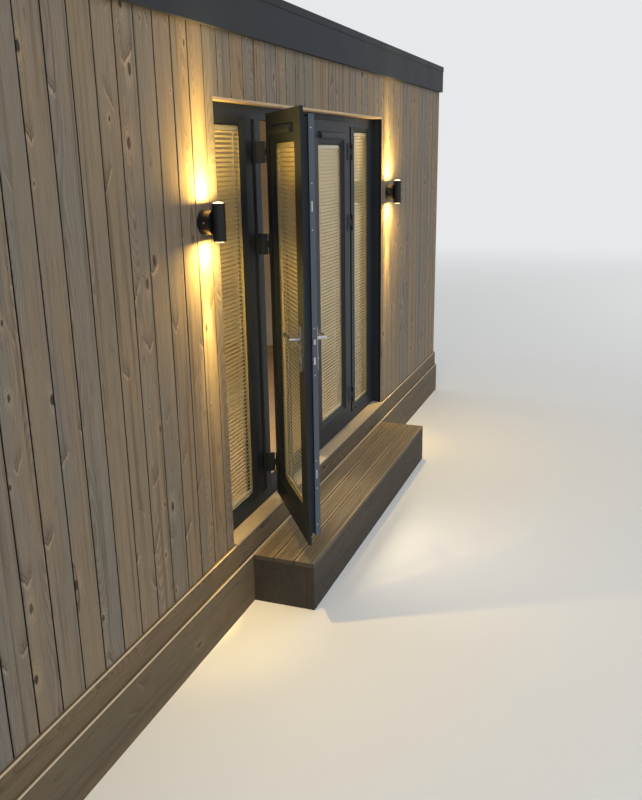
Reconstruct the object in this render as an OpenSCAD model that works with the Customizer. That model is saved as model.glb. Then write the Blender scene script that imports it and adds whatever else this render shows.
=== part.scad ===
// Garden office pod: a timber-clad insulated box with a flat roof, a glazed
// door set with two sidelights, wall lamps and a deck step.
// X runs to the right seen from the front, the front faces -Y, Z is up.
// The origin is on the ground under the middle of the body.

/* [Body] */
// Length of the clad body from side to side
body_l = 6320; // [5200:10:8000]
// Depth of the clad body from front to back
body_d = 3500; // [2600:10:4500]
// Height from the ground to the top of the fascia
body_h = 2980; // [2900:10:3400]
// Thickness of the insulated wall panels
wall_t = 150; // [130:5:220]
// Thickness of the vertical cladding
cladding_t = 20; // [16:1:28]
// Joint left between neighbouring slabs of cladding or trim
slab_gap = 1; // [0.5:0.1:2]

/* [Floor] */
// Height of the floor panel's top above the ground
floor_z = 370; // [330:5:400]
// Thickness of the insulated floor panel
floor_t = 170; // [120:5:200]
// Thickness of the floor boards laid inside
floor_board_t = 12; // [8:1:20]
// Width of each ground bearer
bearer_w = 150; // [90:5:220]
// Number of ground bearers, an odd number
bearer_count = 3; // [3:2:7]

/* [Plinth] */
// Height that the plinth covers above the floor panel's top
plinth_rise = 16; // [5:1:25]
// Height of the upper plinth board
upper_plinth_h = 120; // [90:5:150]
// How far the upper plinth board stands in front of the cladding
upper_plinth_out = 12; // [8:1:16]
// How far the lower plinth board stands in front of the cladding
lower_plinth_out = 25; // [20:1:35]
// Gap between horizontal boards, and over the plinth
board_gap = 3; // [2:0.5:6]
// Fall of the sloped top edge of a plinth board
weathering = 5; // [2:1:8]

/* [Roof] */
// Thickness of the insulated roof panel
roof_t = 200; // [150:5:240]
// Height of the kerb round the roof
kerb_h = 30; // [20:1:60]
// Width of the kerb round the roof
kerb_w = 65; // [40:1:100]
// Thickness of the rubber membrane
membrane_t = 4; // [2:0.5:8]
// Depth of the fascia board
fascia_h = 202; // [150:1:260]
// Thickness of the fascia board
fascia_t = 25; // [15:1:35]
// Place of the butt joint in the front fascia, from the middle
fascia_joint_x = 267; // [-1500:1:1500]
// Thickness of the metal roof edge trim
trim_t = 3; // [2:0.5:5]
// Height of the trim's lip down the fascia
trim_lip = 30; // [15:1:50]
// Rise of the trim's bead along its outer edge
trim_bead = 6; // [3:1:10]

/* [Door set] */
// Overall width of the door set
set_w = 2608; // [2500:2:2900]
// Height of the wall left between the door set's lining and the ceiling
over_door_h = 246; // [200:2:400]
// Depth of the frame members from front to back
frame_depth = 70; // [60:1:76]
// Face width of the frame members
frame_face = 64; // [55:1:80]
// Distance from the cladding's face back to the frame
setback = 65; // [45:1:80]
// Width of the post that couples a sidelight to the door frame
coupler_w = 54; // [30:1:60]
// How deep the face of the coupling post is recessed
coupler_recess = 10; // [4:1:20]
// Thickness of the jamb extension in front of the frame
extension_t = 6; // [3:1:12]
// Thickness of the timber lining under the head of the opening
lining_t = 12; // [8:1:20]

/* [Cill] */
// Thickness of the cill board
cill_t = 30; // [20:1:40]
// How far the cill's nose stands in front of the cladding
cill_nose = 20; // [10:1:40]

/* [Glazing] */
// Width of the sloped glazing bead
bead_w = 30; // [12:1:34]
// Depth of the step where a bead starts, behind the frame's face
bead_step = 3; // [1:0.5:5]
// Thickness of each glass pane
pane_t = 4; // [3:0.5:6]
// Thickness of a sealed glazing unit
unit_t = 28; // [24:1:32]
// Depth from a frame's face to the glass
glass_in = 18; // [14:1:22]
// Distance from the side of a sealed unit to its blind
blind_side = 22; // [20:1:45]
// Thickness of the curtain of blind slats
blind_t = 10; // [6:1:12]
// Depth of the blind's head and bottom rails from front to back
blind_rail_t = 16; // [12:1:16]
// Height of the blind's head rail
blind_head_h = 55; // [36:1:70]
// Height of the blind's bottom rail
blind_foot_h = 14; // [8:1:20]
// Distance from the bottom of a sealed unit to its blind
blind_drop = 34; // [22:1:50]

/* [Doors] */
// Width of one door leaf
leaf_w = 702; // [620:2:720]
// Width of a leaf's stiles and rails
sash_w = 110; // [100:1:140]
// Depth of a leaf from face to face
sash_depth = 70; // [60:1:75]
// Thickness of the lip that laps the frame
lip_t = 15; // [10:1:20]
// How far the lip laps over the frame
lap = 27; // [20:1:36]
// Running clearance between a leaf and the frame
running_gap = 5; // [5:0.5:8]
// Gap between the two leaves where they meet
meeting_gap = 7; // [6:0.5:12]
// Width of the hardware groove in a leaf's edge
groove_w = 16; // [10:1:20]
// Depth of the hardware groove in a leaf's edge
groove_depth = 10; // [5:1:15]
// Angle of the left leaf as it stands open
left_open = 144.5; // [0:0.5:150]
// Angle of the right leaf as it stands
right_open = 0; // [0:1:150]

/* [Hinges] */
// Radius of the hinge knuckles
knuckle_r = 8; // [7:0.5:8]
// Radius of the hinge pin
pin_r = 4; // [3:0.5:5]
// Radial clearance round the hinge pin
pin_clearance = 0.3; // [0.2:0.1:0.6]
// Distance from the leaf's face out to the hinge axis
axis_out = 13; // [13:0.5:18]
// Distance from the leaf's edge out to the hinge axis
axis_side = 8; // [8:0.5:12]
// Height of a hinge
hinge_h = 105; // [80:1:130]
// Width of the flag plate on the leaf
flag_w = 45; // [30:1:60]
// Thickness of the flag plate on the leaf
flag_t = 4; // [3:0.5:5]
// Distance from the top of a leaf to the middle of its top hinge
hinge_top = 183; // [120:1:260]
// Distance between the middles of the two upper hinges
hinge_pair = 455; // [300:5:700]
// Gap between the knuckles along the pin
knuckle_gap = 0.5; // [0.3:0.1:1]
// Width of the bracket that carries a hinge on the frame
bracket_w = 12; // [8:1:20]
// Gap between that bracket and the knuckles' side
bracket_gap = 2; // [1:0.5:5]

/* [Vents and handles] */
// Length of a trickle vent hood
vent_l = 450; // [300:5:480]
// Height of a trickle vent hood
vent_h = 38; // [30:1:45]
// How far a vent hood stands out
vent_out = 20; // [12:1:30]
// Wall of a vent hood
vent_wall = 2.5; // [1.5:0.5:4]
// Distance from the top of the leaf down to the vent hood
vent_drop = 65; // [60:1:70]
// Height of the lever handles above the leaf's bottom
handle_z = 960; // [800:5:1200]
// Height of a handle's back plate
plate_h = 220; // [160:5:260]
// Width of a handle's back plate
plate_w = 30; // [24:1:44]
// Thickness of a handle's back plate
plate_t = 8; // [5:1:12]
// Length of a lever
lever_l = 115; // [90:1:140]
// Radius of a lever
lever_r = 9; // [6:0.5:11]
// Distance of the lever's middle from the leaf's face
lever_out = 48; // [40:1:60]

/* [Wall lamps] */
// Distance of each lamp from the middle of the front
lamp_x = 1455; // [1450:1:1600]
// Height of the middle of a lamp above the ground
lamp_z = 1984; // [1700:1:2200]
// Radius of a lamp's upright tube
lamp_r = 29; // [24:1:40]
// Height of a lamp's upright tube
lamp_h = 160; // [120:1:220]
// Distance from the cladding to the middle of the tube
lamp_out = 78; // [70:1:110]
// Radius of the round back box
back_box_r = 52; // [40:1:60]
// Wall of the tube round the lens
lamp_rim = 3; // [2:0.5:5]
// How deep the edge of the lens sits in the tube
lens_in = 2; // [1:0.5:12]
// Thickness of the lens at its edge
lens_t = 5; // [3:1:8]
// Rise of the lens's domed face above its edge
lens_rise = 7; // [2:0.5:12]
// Clearance round the lens
lens_clearance = 0.3; // [0.2:0.1:0.6]

/* [Deck step] */
// Length of the deck step
deck_l = 2360; // [1200:10:3000]
// Offset of the deck step's middle from the middle of the body
deck_x = 35; // [-200:5:200]
// Height of the deck step
deck_z = 264; // [180:2:264]
// Number of deck boards from back to front
deck_rows = 3; // [2:1:6]
// Width of a deck board
deck_board_w = 106; // [90:1:150]
// Thickness of a deck board
deck_board_t = 24; // [18:1:32]
// Gap between deck boards
deck_gap = 6; // [4:1:10]
// Number of ribs on a deck board
rib_count = 12; // [6:1:18]
// Depth of the grooves between the ribs
rib_depth = 2; // [1:0.5:3]
// Plain margin along each edge of a deck board
rib_margin = 11; // [6:1:16]
// Thickness of the boards of the deck frame
deck_frame_t = 42; // [30:1:60]
// Number of joists under the deck boards
joist_count = 6; // [4:1:10]

/* [Hidden] */
$fn = 64;

// Body planes
half_l = body_l / 2;
half_d = body_d / 2;
face_y = -half_d;
panel_l = body_l - 2 * cladding_t;
panel_d = body_d - 2 * cladding_t;
roof_top = body_h - kerb_h;
ceiling_z = roof_top - roof_t;
wall_h = ceiling_z - floor_z;
plinth_top = floor_z + plinth_rise;
cladding_z = plinth_top + board_gap;
lower_plinth_top = plinth_top - upper_plinth_h - board_gap;
room_l = panel_l - 2 * wall_t;
room_d = panel_d - 2 * wall_t;

// Door set planes
frame_y = face_y + setback;
cill_top = floor_z + cill_t;
opening_top = ceiling_z - over_door_h;
set_top = opening_top - lining_t;
set_h = set_top - cill_top;
sill_top = cill_top + frame_face;
head_bottom = set_top - frame_face;
post_h = head_bottom - sill_top;
opening_half = set_w / 2 + extension_t;
leaf_start = meeting_gap / 2;
leaf_end = leaf_start + leaf_w;
door_post_in = leaf_end - lap;
door_post_out = door_post_in + frame_face;
side_post_in = door_post_out + coupler_w;
side_post_out = side_post_in + frame_face;
jamb_in = set_w / 2 - frame_face;

// Leaf planes
leaf_z = sill_top - lap;
leaf_h = post_h + 2 * lap;
leaf_y = frame_y - lip_t - running_gap;
lip_w = lap + running_gap;
hinge_x = leaf_end + axis_side;
hinge_y = leaf_y - axis_out;
sash_bar_w = sash_w + bead_w;
hinge_heights = [hinge_top, hinge_top + hinge_pair, leaf_h - hinge_top];
knuckle_h = (hinge_h - 2 * knuckle_gap) / 3;
arris = 2;

// Small parts of a piece: how far welded parts run into each other, the root
// of a bead in its frame, the steps of a vent hood's curve and the turn of each
// step of a lens's dome, the key cover
bite = 1;
bead_root = 1;
vent_steps = 10;
dome_step = 15;
key_cover_t = 4;

// Deck planes
deck_back = face_y - lower_plinth_out;
deck_depth = deck_rows * (deck_board_w + deck_gap);

// Colours
timber = "#a08a6c";
anthracite = "#383e42";
black = "#1c1d1f";
panel_white = "#e8e6e0";
cream = "#e6dcc0";
glass_tint = "#a8bcc4";
pale_timber = "#c9b58c";
deck_brown = "#7a6650";
steel = "#b8babc";
lamp_glow = "#ffe2a0";

// A box from one corner to the opposite corner
module span(from, to) {
    translate(from) cube(to - from);
}

// Children and their mirror image on the other side
module both_sides() {
    children();
    mirror([1, 0, 0]) children();
}

// Children and their mirror image at the back
module both_fronts() {
    children();
    mirror([0, 1, 0]) children();
}

// Floor and ground
module ground_bearers() {
    pitch = (panel_d - bearer_w) / (bearer_count - 1);
    color(deck_brown)
        for (i = [0 : bearer_count - 1])
            translate([-panel_l / 2, -panel_d / 2 + i * pitch, 0])
                cube([panel_l, bearer_w, floor_z - floor_t]);
}

module floor_panel() {
    color(pale_timber)
        span([-panel_l / 2, -panel_d / 2, floor_z - floor_t], [panel_l / 2, panel_d / 2, floor_z]);
}

module floor_boards() {
    color(pale_timber)
        span([-room_l / 2, -room_d / 2, floor_z], [room_l / 2, room_d / 2, floor_z + floor_board_t]);
}

// Walls
module front_wall_left() {
    color(panel_white)
        span([-panel_l / 2, -panel_d / 2, floor_z], [-opening_half, -room_d / 2, ceiling_z]);
}

module front_wall_right() {
    mirror([1, 0, 0]) front_wall_left();
}

module front_wall_head() {
    color(panel_white)
        span([-opening_half, -panel_d / 2, opening_top], [opening_half, -room_d / 2, ceiling_z]);
}

module left_wall() {
    color(panel_white)
        span([-panel_l / 2, -room_d / 2, floor_z], [-room_l / 2, room_d / 2, ceiling_z]);
}

module right_wall() {
    mirror([1, 0, 0]) left_wall();
}

module back_wall() {
    color(panel_white)
        span([-panel_l / 2, room_d / 2, floor_z], [panel_l / 2, panel_d / 2, ceiling_z]);
}

// Roof
module roof_panel() {
    color(panel_white)
        span([-panel_l / 2, -panel_d / 2, ceiling_z], [panel_l / 2, panel_d / 2, roof_top]);
}

module roof_membrane() {
    inner_l = half_l - kerb_w;
    inner_d = half_d - kerb_w;
    color(black) {
        span([-inner_l + slab_gap, -inner_d + slab_gap, roof_top],
             [inner_l - slab_gap, inner_d - slab_gap, roof_top + membrane_t]);
        both_fronts()
            span([-half_l, -half_d, roof_top], [half_l, -inner_d, body_h]);
        both_sides()
            span([-half_l, -inner_d + slab_gap, roof_top], [-inner_l, inner_d - slab_gap, body_h]);
    }
}

// Roof edge trim: a flat flange, a raised bead and a lip down the fascia
module trim_section() {
    polygon([
        [kerb_w, 0], [kerb_w, trim_t],
        [-fascia_t + trim_bead, trim_t], [-fascia_t + trim_t, trim_t + trim_bead],
        [-fascia_t - trim_t, trim_t + trim_bead], [-fascia_t - trim_t, -trim_lip],
        [-fascia_t, -trim_lip], [-fascia_t, 0]
    ]);
}

module roof_edge_trim() {
    long = body_l + 2 * (fascia_t + trim_t);
    short = body_d - 2 * (kerb_w + slab_gap);
    color(black) {
        both_fronts()
            translate([-long / 2, face_y, body_h])
                rotate([90, 0, 90]) linear_extrude(long) trim_section();
        both_sides()
            translate([-half_l, short / 2, body_h])
                rotate([90, 0, 0]) linear_extrude(short) trim_section();
    }
}

// Cladding
module front_cladding() {
    edge = set_w / 2;
    color(timber) {
        both_sides()
            span([edge, face_y, cladding_z], [half_l, face_y + cladding_t, roof_top]);
        span([-edge + slab_gap, face_y, opening_top],
             [edge - slab_gap, face_y + cladding_t, roof_top]);
    }
}

module left_cladding() {
    color(timber)
        span([-half_l, -panel_d / 2, cladding_z], [-half_l + cladding_t, panel_d / 2, roof_top]);
}

module right_cladding() {
    mirror([1, 0, 0]) left_cladding();
}

module back_cladding() {
    color(timber)
        span([-half_l, half_d - cladding_t, cladding_z], [half_l, half_d, roof_top]);
}

// Fascias
module front_fascia() {
    bottom = body_h - fascia_h;
    color(anthracite) {
        span([-half_l - fascia_t, face_y - fascia_t, bottom], [fascia_joint_x - slab_gap, face_y, body_h]);
        span([fascia_joint_x, face_y - fascia_t, bottom], [half_l + fascia_t, face_y, body_h]);
    }
}

module back_fascia() {
    color(anthracite)
        span([-half_l - fascia_t, half_d, body_h - fascia_h],
             [half_l + fascia_t, half_d + fascia_t, body_h]);
}

module side_fascias() {
    color(anthracite)
        both_sides()
            span([half_l, -half_d, body_h - fascia_h], [half_l + fascia_t, half_d, body_h]);
}

// Plinth board in section: upright back, and a front edge that sheds water
module plinth_section(thickness, height) {
    polygon([
        [0, 0], [-thickness, 0], [-thickness, height - weathering],
        [weathering - thickness, height], [0, height]
    ]);
}

// A plinth board along X, centred, with its back on the X axis
module plinth_board(length, thickness, height) {
    translate([-length / 2, 0, 0])
        rotate([90, 0, 90]) linear_extrude(length) plinth_section(thickness, height);
}

// A lower and an upper plinth board, each with its own length
module plinth_pair(lower_length, upper_length) {
    plinth_board(lower_length, cladding_t + lower_plinth_out, lower_plinth_top);
    translate([0, 0, lower_plinth_top + board_gap])
        plinth_board(upper_length, cladding_t + upper_plinth_out, upper_plinth_h);
}

module front_plinth() {
    color(timber)
        translate([0, -panel_d / 2, 0])
            plinth_pair(body_l + 2 * lower_plinth_out, body_l + 2 * upper_plinth_out);
}

module back_plinth() {
    mirror([0, 1, 0]) front_plinth();
}

module side_plinths() {
    color(timber)
        both_sides()
            translate([panel_l / 2, 0, 0]) rotate(90) plinth_pair(panel_d, panel_d);
}

// Opening in the front wall
module head_lining() {
    color(pale_timber)
        span([-set_w / 2, face_y, set_top], [set_w / 2, frame_y + frame_depth, opening_top]);
}

// Section of the cill: it sits on the floor panel, rises over the plinth and
// slopes to a nose
module cill_section() {
    polygon([
        [setback + frame_depth, 0], [setback + frame_depth, cill_t], [setback, cill_t],
        [-cill_nose, cill_t - weathering], [-cill_nose, plinth_rise],
        [cladding_t, plinth_rise], [cladding_t, 0]
    ]);
}

module cill_board() {
    color(pale_timber)
        translate([-set_w / 2, face_y, floor_z])
            rotate([90, 0, 90]) linear_extrude(set_w) cill_section();
}

// Sloped glazing beads in front of and behind a sealed unit. The first
// coordinate runs from the frame member towards the glass, the second inwards.
module bead_sections(depth) {
    unit_back = glass_in + unit_t;
    polygon([
        [-bead_root, bead_step], [0, bead_step], [bead_w, glass_in], [-bead_root, glass_in]
    ]);
    polygon([
        [-bead_root, unit_back], [bead_w, unit_back], [0, depth - bead_step],
        [-bead_root, depth - bead_step]
    ]);
}

// Frame posts of the door set
module jamb_section() {
    reach = setback - cladding_t;
    polygon([
        [jamb_in, 0], [set_w / 2, 0], [set_w / 2, -reach], [opening_half, -reach],
        [opening_half, frame_depth], [jamb_in, frame_depth]
    ]);
}

module mullion_section() {
    polygon([
        [door_post_in, 0], [door_post_out, 0], [door_post_out, coupler_recess],
        [side_post_in, coupler_recess], [side_post_in, 0], [side_post_out, 0],
        [side_post_out, frame_depth], [door_post_in, frame_depth]
    ]);
}

module frame_posts() {
    color(anthracite)
        both_sides() {
            translate([0, frame_y, cill_top]) linear_extrude(set_h) jamb_section();
            translate([0, frame_y, sill_top])
                linear_extrude(post_h) {
                    translate([jamb_in, 0]) mirror([1, 0]) bead_sections(frame_depth);
                    mullion_section();
                    translate([side_post_out, 0]) bead_sections(frame_depth);
                }
        }
}

// Head or sill rail, with beads along each sidelight. Z = 0 is the edge
// towards the glass and the rail lies below it.
module frame_rail() {
    bead_from = side_post_out + bead_w;
    bead_length = jamb_in - bead_w - bead_from;
    translate([-jamb_in, 0, -frame_face]) cube([2 * jamb_in, frame_depth, frame_face]);
    both_sides()
        translate([bead_from, 0, 0])
            rotate([90, 0, 90])
                linear_extrude(bead_length)
                    mirror([1, -1]) bead_sections(frame_depth);
}

module frame_rails() {
    color(anthracite) {
        translate([0, frame_y, sill_top]) frame_rail();
        translate([0, frame_y, head_bottom]) mirror([0, 0, 1]) frame_rail();
    }
}

// Two panes of a sealed unit, with the unit's near lower left corner at zero
module glass_unit(width, height) {
    cube([width, pane_t, height]);
    translate([0, unit_t - pane_t, 0]) cube([width, pane_t, height]);
}

// A venetian blind hanging inside a sealed unit: head rail, slats and foot
module blind(width, height) {
    blind_w = width - 2 * blind_side;
    middle = unit_t / 2;
    translate([blind_side, middle - blind_rail_t / 2, height - blind_head_h])
        cube([blind_w, blind_rail_t, blind_head_h]);
    translate([blind_side, middle - blind_t / 2, blind_drop])
        cube([blind_w, blind_t, height - blind_head_h - blind_drop]);
    translate([blind_side, middle - blind_rail_t / 2, blind_drop])
        cube([blind_w, blind_rail_t, blind_foot_h]);
}

// Children placed in the right sidelight's bay, and mirrored to the left one
module in_sidelights() {
    both_sides() translate([side_post_out, frame_y + glass_in, sill_top]) children();
}

module sidelight_glass() {
    color(glass_tint) in_sidelights() glass_unit(jamb_in - side_post_out, post_h);
}

module sidelight_blinds() {
    color(cream) in_sidelights() blind(jamb_in - side_post_out, post_h);
}

// Children are drawn about a hinge axis: X runs across the leaf, Y into the
// room, and the leaf is shut. These place them on the left or the right side.
module on_left_hinge() {
    translate([-hinge_x, hinge_y, 0]) rotate(-left_open) children();
}

module on_right_hinge() {
    translate([hinge_x, hinge_y, 0]) rotate(right_open) mirror([1, 0, 0]) children();
}

// Section of a leaf's frame. The first coordinate runs from the leaf's edge
// towards the glass, the second from the outer face to the inner face.
module sash_section() {
    groove_from = lip_t + (sash_depth - lip_t - groove_w) / 3;
    groove_to = groove_from + groove_w;
    polygon([
        [arris, 0], [sash_w, 0], [sash_w, sash_depth], [lip_w, sash_depth],
        [lip_w, groove_to], [lip_w + groove_depth, groove_to],
        [lip_w + groove_depth, groove_from], [lip_w, groove_from],
        [lip_w, lip_t], [0, lip_t], [0, arris]
    ]);
    translate([sash_w, 0]) bead_sections(sash_depth);
}

// A length of leaf frame with mitred ends. It runs up Z, with its outer edge
// on the Z axis.
module sash_bar(length) {
    intersection() {
        linear_extrude(length) sash_section();
        translate([0, sash_depth, 0])
            rotate([90, 0, 0])
                linear_extrude(sash_depth)
                    polygon([
                        [0, 0], [sash_bar_w, sash_bar_w],
                        [sash_bar_w, length - sash_bar_w], [0, length]
                    ]);
    }
}

module leaf_stiles() {
    color(anthracite)
        translate([axis_side, axis_out, leaf_z]) {
            sash_bar(leaf_h);
            translate([leaf_w, 0, 0]) mirror([1, 0, 0]) sash_bar(leaf_h);
        }
}

module leaf_rails() {
    color(anthracite)
        translate([axis_side, axis_out, leaf_z]) {
            mirror([1, 0, -1]) sash_bar(leaf_w);
            translate([0, 0, leaf_h]) mirror([0, 0, 1]) mirror([1, 0, -1]) sash_bar(leaf_w);
        }
}

// Children placed in a leaf's glazed opening
module in_leaf() {
    translate([axis_side + sash_w, axis_out + glass_in, leaf_z + sash_w]) children();
}

module leaf_glass() {
    color(glass_tint) in_leaf() glass_unit(leaf_w - 2 * sash_w, leaf_h - 2 * sash_w);
}

module leaf_blind() {
    color(cream) in_leaf() blind(leaf_w - 2 * sash_w, leaf_h - 2 * sash_w);
}

// Section of a vent hood: a curved canopy over a back plate, open below
function hood_curve(out, up, nose) = [
    for (i = [0 : vent_steps])
        let (t = 90 * i / vent_steps) [out * sin(t), nose + (up - nose) * cos(t)]
];

module hood_outline(wall) {
    nose = vent_h / 4;
    out = vent_out - wall;
    polygon(concat([[0, 0]], hood_curve(out, vent_h - wall, nose), [[out, 0]]));
}

module vent_hood() {
    linear_extrude(vent_wall) hood_outline(0);
    linear_extrude(vent_l)
        difference() {
            hood_outline(0);
            intersection() {
                hood_outline(vent_wall);
                translate([vent_wall, 0]) square([vent_out, vent_h]);
            }
        }
    translate([0, 0, vent_l - vent_wall]) linear_extrude(vent_wall) hood_outline(0);
}

module leaf_vent() {
    color(anthracite)
        translate([
            axis_side + (leaf_w - vent_l) / 2, axis_out, leaf_z + leaf_h - vent_drop - vent_h
        ])
            rotate([90, 0, 90]) mirror([1, 0, 0]) vent_hood();
}

// A lever handle on a back plate that lies in the XZ plane and faces -Y.
// The lever points to -X.
module lever_handle() {
    end_z = (plate_h - plate_w) / 2;
    rotate([90, 0, 0])
        linear_extrude(plate_t) {
            square([plate_w, 2 * end_z], center = true);
            translate([0, end_z]) circle(plate_w / 2);
            translate([0, -end_z]) circle(plate_w / 2);
        }
    translate([0, 0, end_z / 2]) {
        rotate([90, 0, 0]) cylinder(h = lever_out, r = lever_r);
        translate([0, -lever_out, 0]) {
            sphere(lever_r);
            rotate([0, -90, 0]) cylinder(h = lever_l, r = lever_r);
            translate([-lever_l, 0, 0]) sphere(lever_r);
        }
    }
    translate([0, 0, -end_z / 2])
        rotate([90, 0, 0]) cylinder(h = plate_t + key_cover_t, r = plate_w / 4);
}

module leaf_handles() {
    stile_middle = leaf_w - (lip_w + sash_w) / 2;
    color(steel)
        translate([axis_side + stile_middle, axis_out, leaf_z + handle_z]) {
            lever_handle();
            translate([0, sash_depth, 0]) mirror([0, 1, 0]) lever_handle();
        }
}

// Leaf half of one hinge: a middle knuckle and a flag plate on the face
module leaf_flag() {
    translate([0, 0, -hinge_h / 2])
        translate([axis_side + bite, axis_out - flag_t, 0])
            cube([flag_w, flag_t, hinge_h]);
    difference() {
        translate([0, 0, -knuckle_h / 2])
            linear_extrude(knuckle_h) {
                circle(knuckle_r);
                polygon([
                    [0, -knuckle_r], [knuckle_r, 0], [axis_side + knuckle_r, axis_out - flag_t],
                    [axis_side + knuckle_r, axis_out], [axis_side + bite, axis_out], [0, knuckle_r]
                ]);
            }
        translate([0, 0, -hinge_h]) cylinder(h = 2 * hinge_h, r = pin_r + pin_clearance);
    }
}

module leaf_hinges() {
    color(anthracite)
        for (drop = hinge_heights)
            translate([0, 0, leaf_z + leaf_h - drop]) leaf_flag();
}

// Frame half of one hinge: a bracket on the frame's face, two knuckles, a pin
module frame_flag() {
    frame_face_v = axis_out + lip_t + running_gap;
    bracket_x = -knuckle_r - bracket_gap - bracket_w;
    web_x = bracket_x + bracket_w - bite;
    translate([bracket_x, 0, -hinge_h / 2])
        linear_extrude(hinge_h)
            polygon([
                [0, frame_face_v], [bracket_w, frame_face_v], [bracket_w, 0], [0, frame_face_v / 2]
            ]);
    both_ends()
        translate([0, 0, knuckle_h / 2 + knuckle_gap])
            linear_extrude(knuckle_h) {
                circle(knuckle_r);
                polygon([
                    [web_x, frame_face_v], [0, frame_face_v], [0, -knuckle_r], [web_x, 0]
                ]);
            }
    translate([0, 0, -hinge_h / 2]) cylinder(h = hinge_h, r = pin_r);
}

// Children and their mirror image below
module both_ends() {
    children();
    mirror([0, 0, 1]) children();
}

module frame_hinges() {
    color(anthracite)
        both_sides()
            for (drop = hinge_heights)
                translate([-hinge_x, hinge_y, leaf_z + leaf_h - drop]) frame_flag();
}

// The two leaves
module left_door_stiles() { on_left_hinge() leaf_stiles(); }
module left_door_rails() { on_left_hinge() leaf_rails(); }
module left_door_glass() { on_left_hinge() leaf_glass(); }
module left_door_blind() { on_left_hinge() leaf_blind(); }
module left_door_vent() { on_left_hinge() leaf_vent(); }
module left_door_handles() { on_left_hinge() leaf_handles(); }
module left_door_hinges() { on_left_hinge() leaf_hinges(); }
module right_door_stiles() { on_right_hinge() leaf_stiles(); }
module right_door_rails() { on_right_hinge() leaf_rails(); }
module right_door_glass() { on_right_hinge() leaf_glass(); }
module right_door_blind() { on_right_hinge() leaf_blind(); }
module right_door_vent() { on_right_hinge() leaf_vent(); }
module right_door_hinges() { on_right_hinge() leaf_hinges(); }

// Wall lamp: an upright tube open to a lens at each end, on a round back box
module wall_lamp() {
    recess = lens_in + lens_t;
    box_reach = lamp_out - lamp_r + lamp_rim;
    difference() {
        union() {
            translate([0, 0, -lamp_h / 2]) cylinder(h = lamp_h, r = lamp_r);
            translate([0, lamp_out, 0]) rotate([90, 0, 0]) cylinder(h = box_reach, r = back_box_r);
        }
        both_ends()
            translate([0, 0, lamp_h / 2 - recess]) cylinder(h = recess + 1, r = lamp_r - lamp_rim);
    }
}

// Children placed at both lamps
module at_lamps() {
    both_sides() translate([lamp_x, face_y - lamp_out, lamp_z]) children();
}

module wall_lamps() {
    color(black) at_lamps() wall_lamp();
}

// Section of a lens from its axis out: a straight edge under a domed face
module lens_section() {
    radius = lamp_r - lamp_rim - lens_clearance;
    polygon(concat(
        [[0, 0], [radius, 0]],
        [
            for (turn = [0 : dome_step : 90])
                [radius * cos(turn), lens_t + lens_rise * sin(turn)]
        ]
    ));
}

module lamp_lenses() {
    color(lamp_glow)
        at_lamps()
            both_ends()
                translate([0, 0, lamp_h / 2 - lens_in - lens_t])
                    rotate_extrude() lens_section();
}

// Section of a deck board with ribs along its top between two plain margins
module deck_board_section() {
    pitch = (deck_board_w - 2 * rib_margin) / rib_count;
    polygon(concat(
        [[0, 0], [0, deck_board_t]],
        [
            for (i = [0 : rib_count - 1])
                for (point = [[0.3, 0], [0.3, -1], [0.7, -1], [0.7, 0]])
                    [rib_margin + (i + point[0]) * pitch, deck_board_t + point[1] * rib_depth]
        ],
        [[deck_board_w, deck_board_t], [deck_board_w, 0]]
    ));
}

module deck_boards() {
    color(deck_brown)
        for (row = [1 : deck_rows])
            translate([
                deck_x - deck_l / 2, deck_back - row * (deck_board_w + deck_gap),
                deck_z - deck_board_t
            ])
                rotate([90, 0, 90]) linear_extrude(deck_l) deck_board_section();
}

module deck_frame() {
    height = deck_z - deck_board_t;
    joist_l = deck_depth - 2 * deck_frame_t - 2 * slab_gap;
    joist_pitch = (deck_l - deck_frame_t) / (joist_count - 1);
    color(black)
        translate([deck_x - deck_l / 2, deck_back - deck_depth, 0]) {
            cube([deck_l, deck_frame_t, height]);
            translate([0, deck_depth - deck_frame_t, 0]) cube([deck_l, deck_frame_t, height]);
            for (i = [0 : joist_count - 1])
                translate([i * joist_pitch, deck_frame_t + slab_gap, 0])
                    cube([deck_frame_t, joist_l, height]);
        }
}

ground_bearers();
floor_panel();
floor_boards();
front_wall_left();
front_wall_right();
front_wall_head();
left_wall();
right_wall();
back_wall();
roof_panel();
roof_membrane();
roof_edge_trim();
front_cladding();
left_cladding();
right_cladding();
back_cladding();
front_fascia();
back_fascia();
side_fascias();
front_plinth();
back_plinth();
side_plinths();
head_lining();
frame_posts();
frame_rails();
cill_board();
sidelight_glass();
sidelight_blinds();
frame_hinges();
left_door_stiles();
left_door_rails();
left_door_glass();
left_door_blind();
left_door_vent();
left_door_handles();
left_door_hinges();
right_door_stiles();
right_door_rails();
right_door_glass();
right_door_blind();
right_door_vent();
right_door_hinges();
wall_lamps();
lamp_lenses();
deck_boards();
deck_frame();
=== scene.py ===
"""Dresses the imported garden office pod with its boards, blinds, glazing, hardware and finishes.

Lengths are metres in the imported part's frame: X runs to the right seen from the
front, the front faces -Y, Z is up and the ground is at zero.
"""

import logging
import math
import random
from collections.abc import Iterator
from dataclasses import dataclass, field
from enum import Enum
from functools import cache, reduce
from typing import Protocol

import bmesh
import bpy
from mathutils import Matrix, Vector


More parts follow.
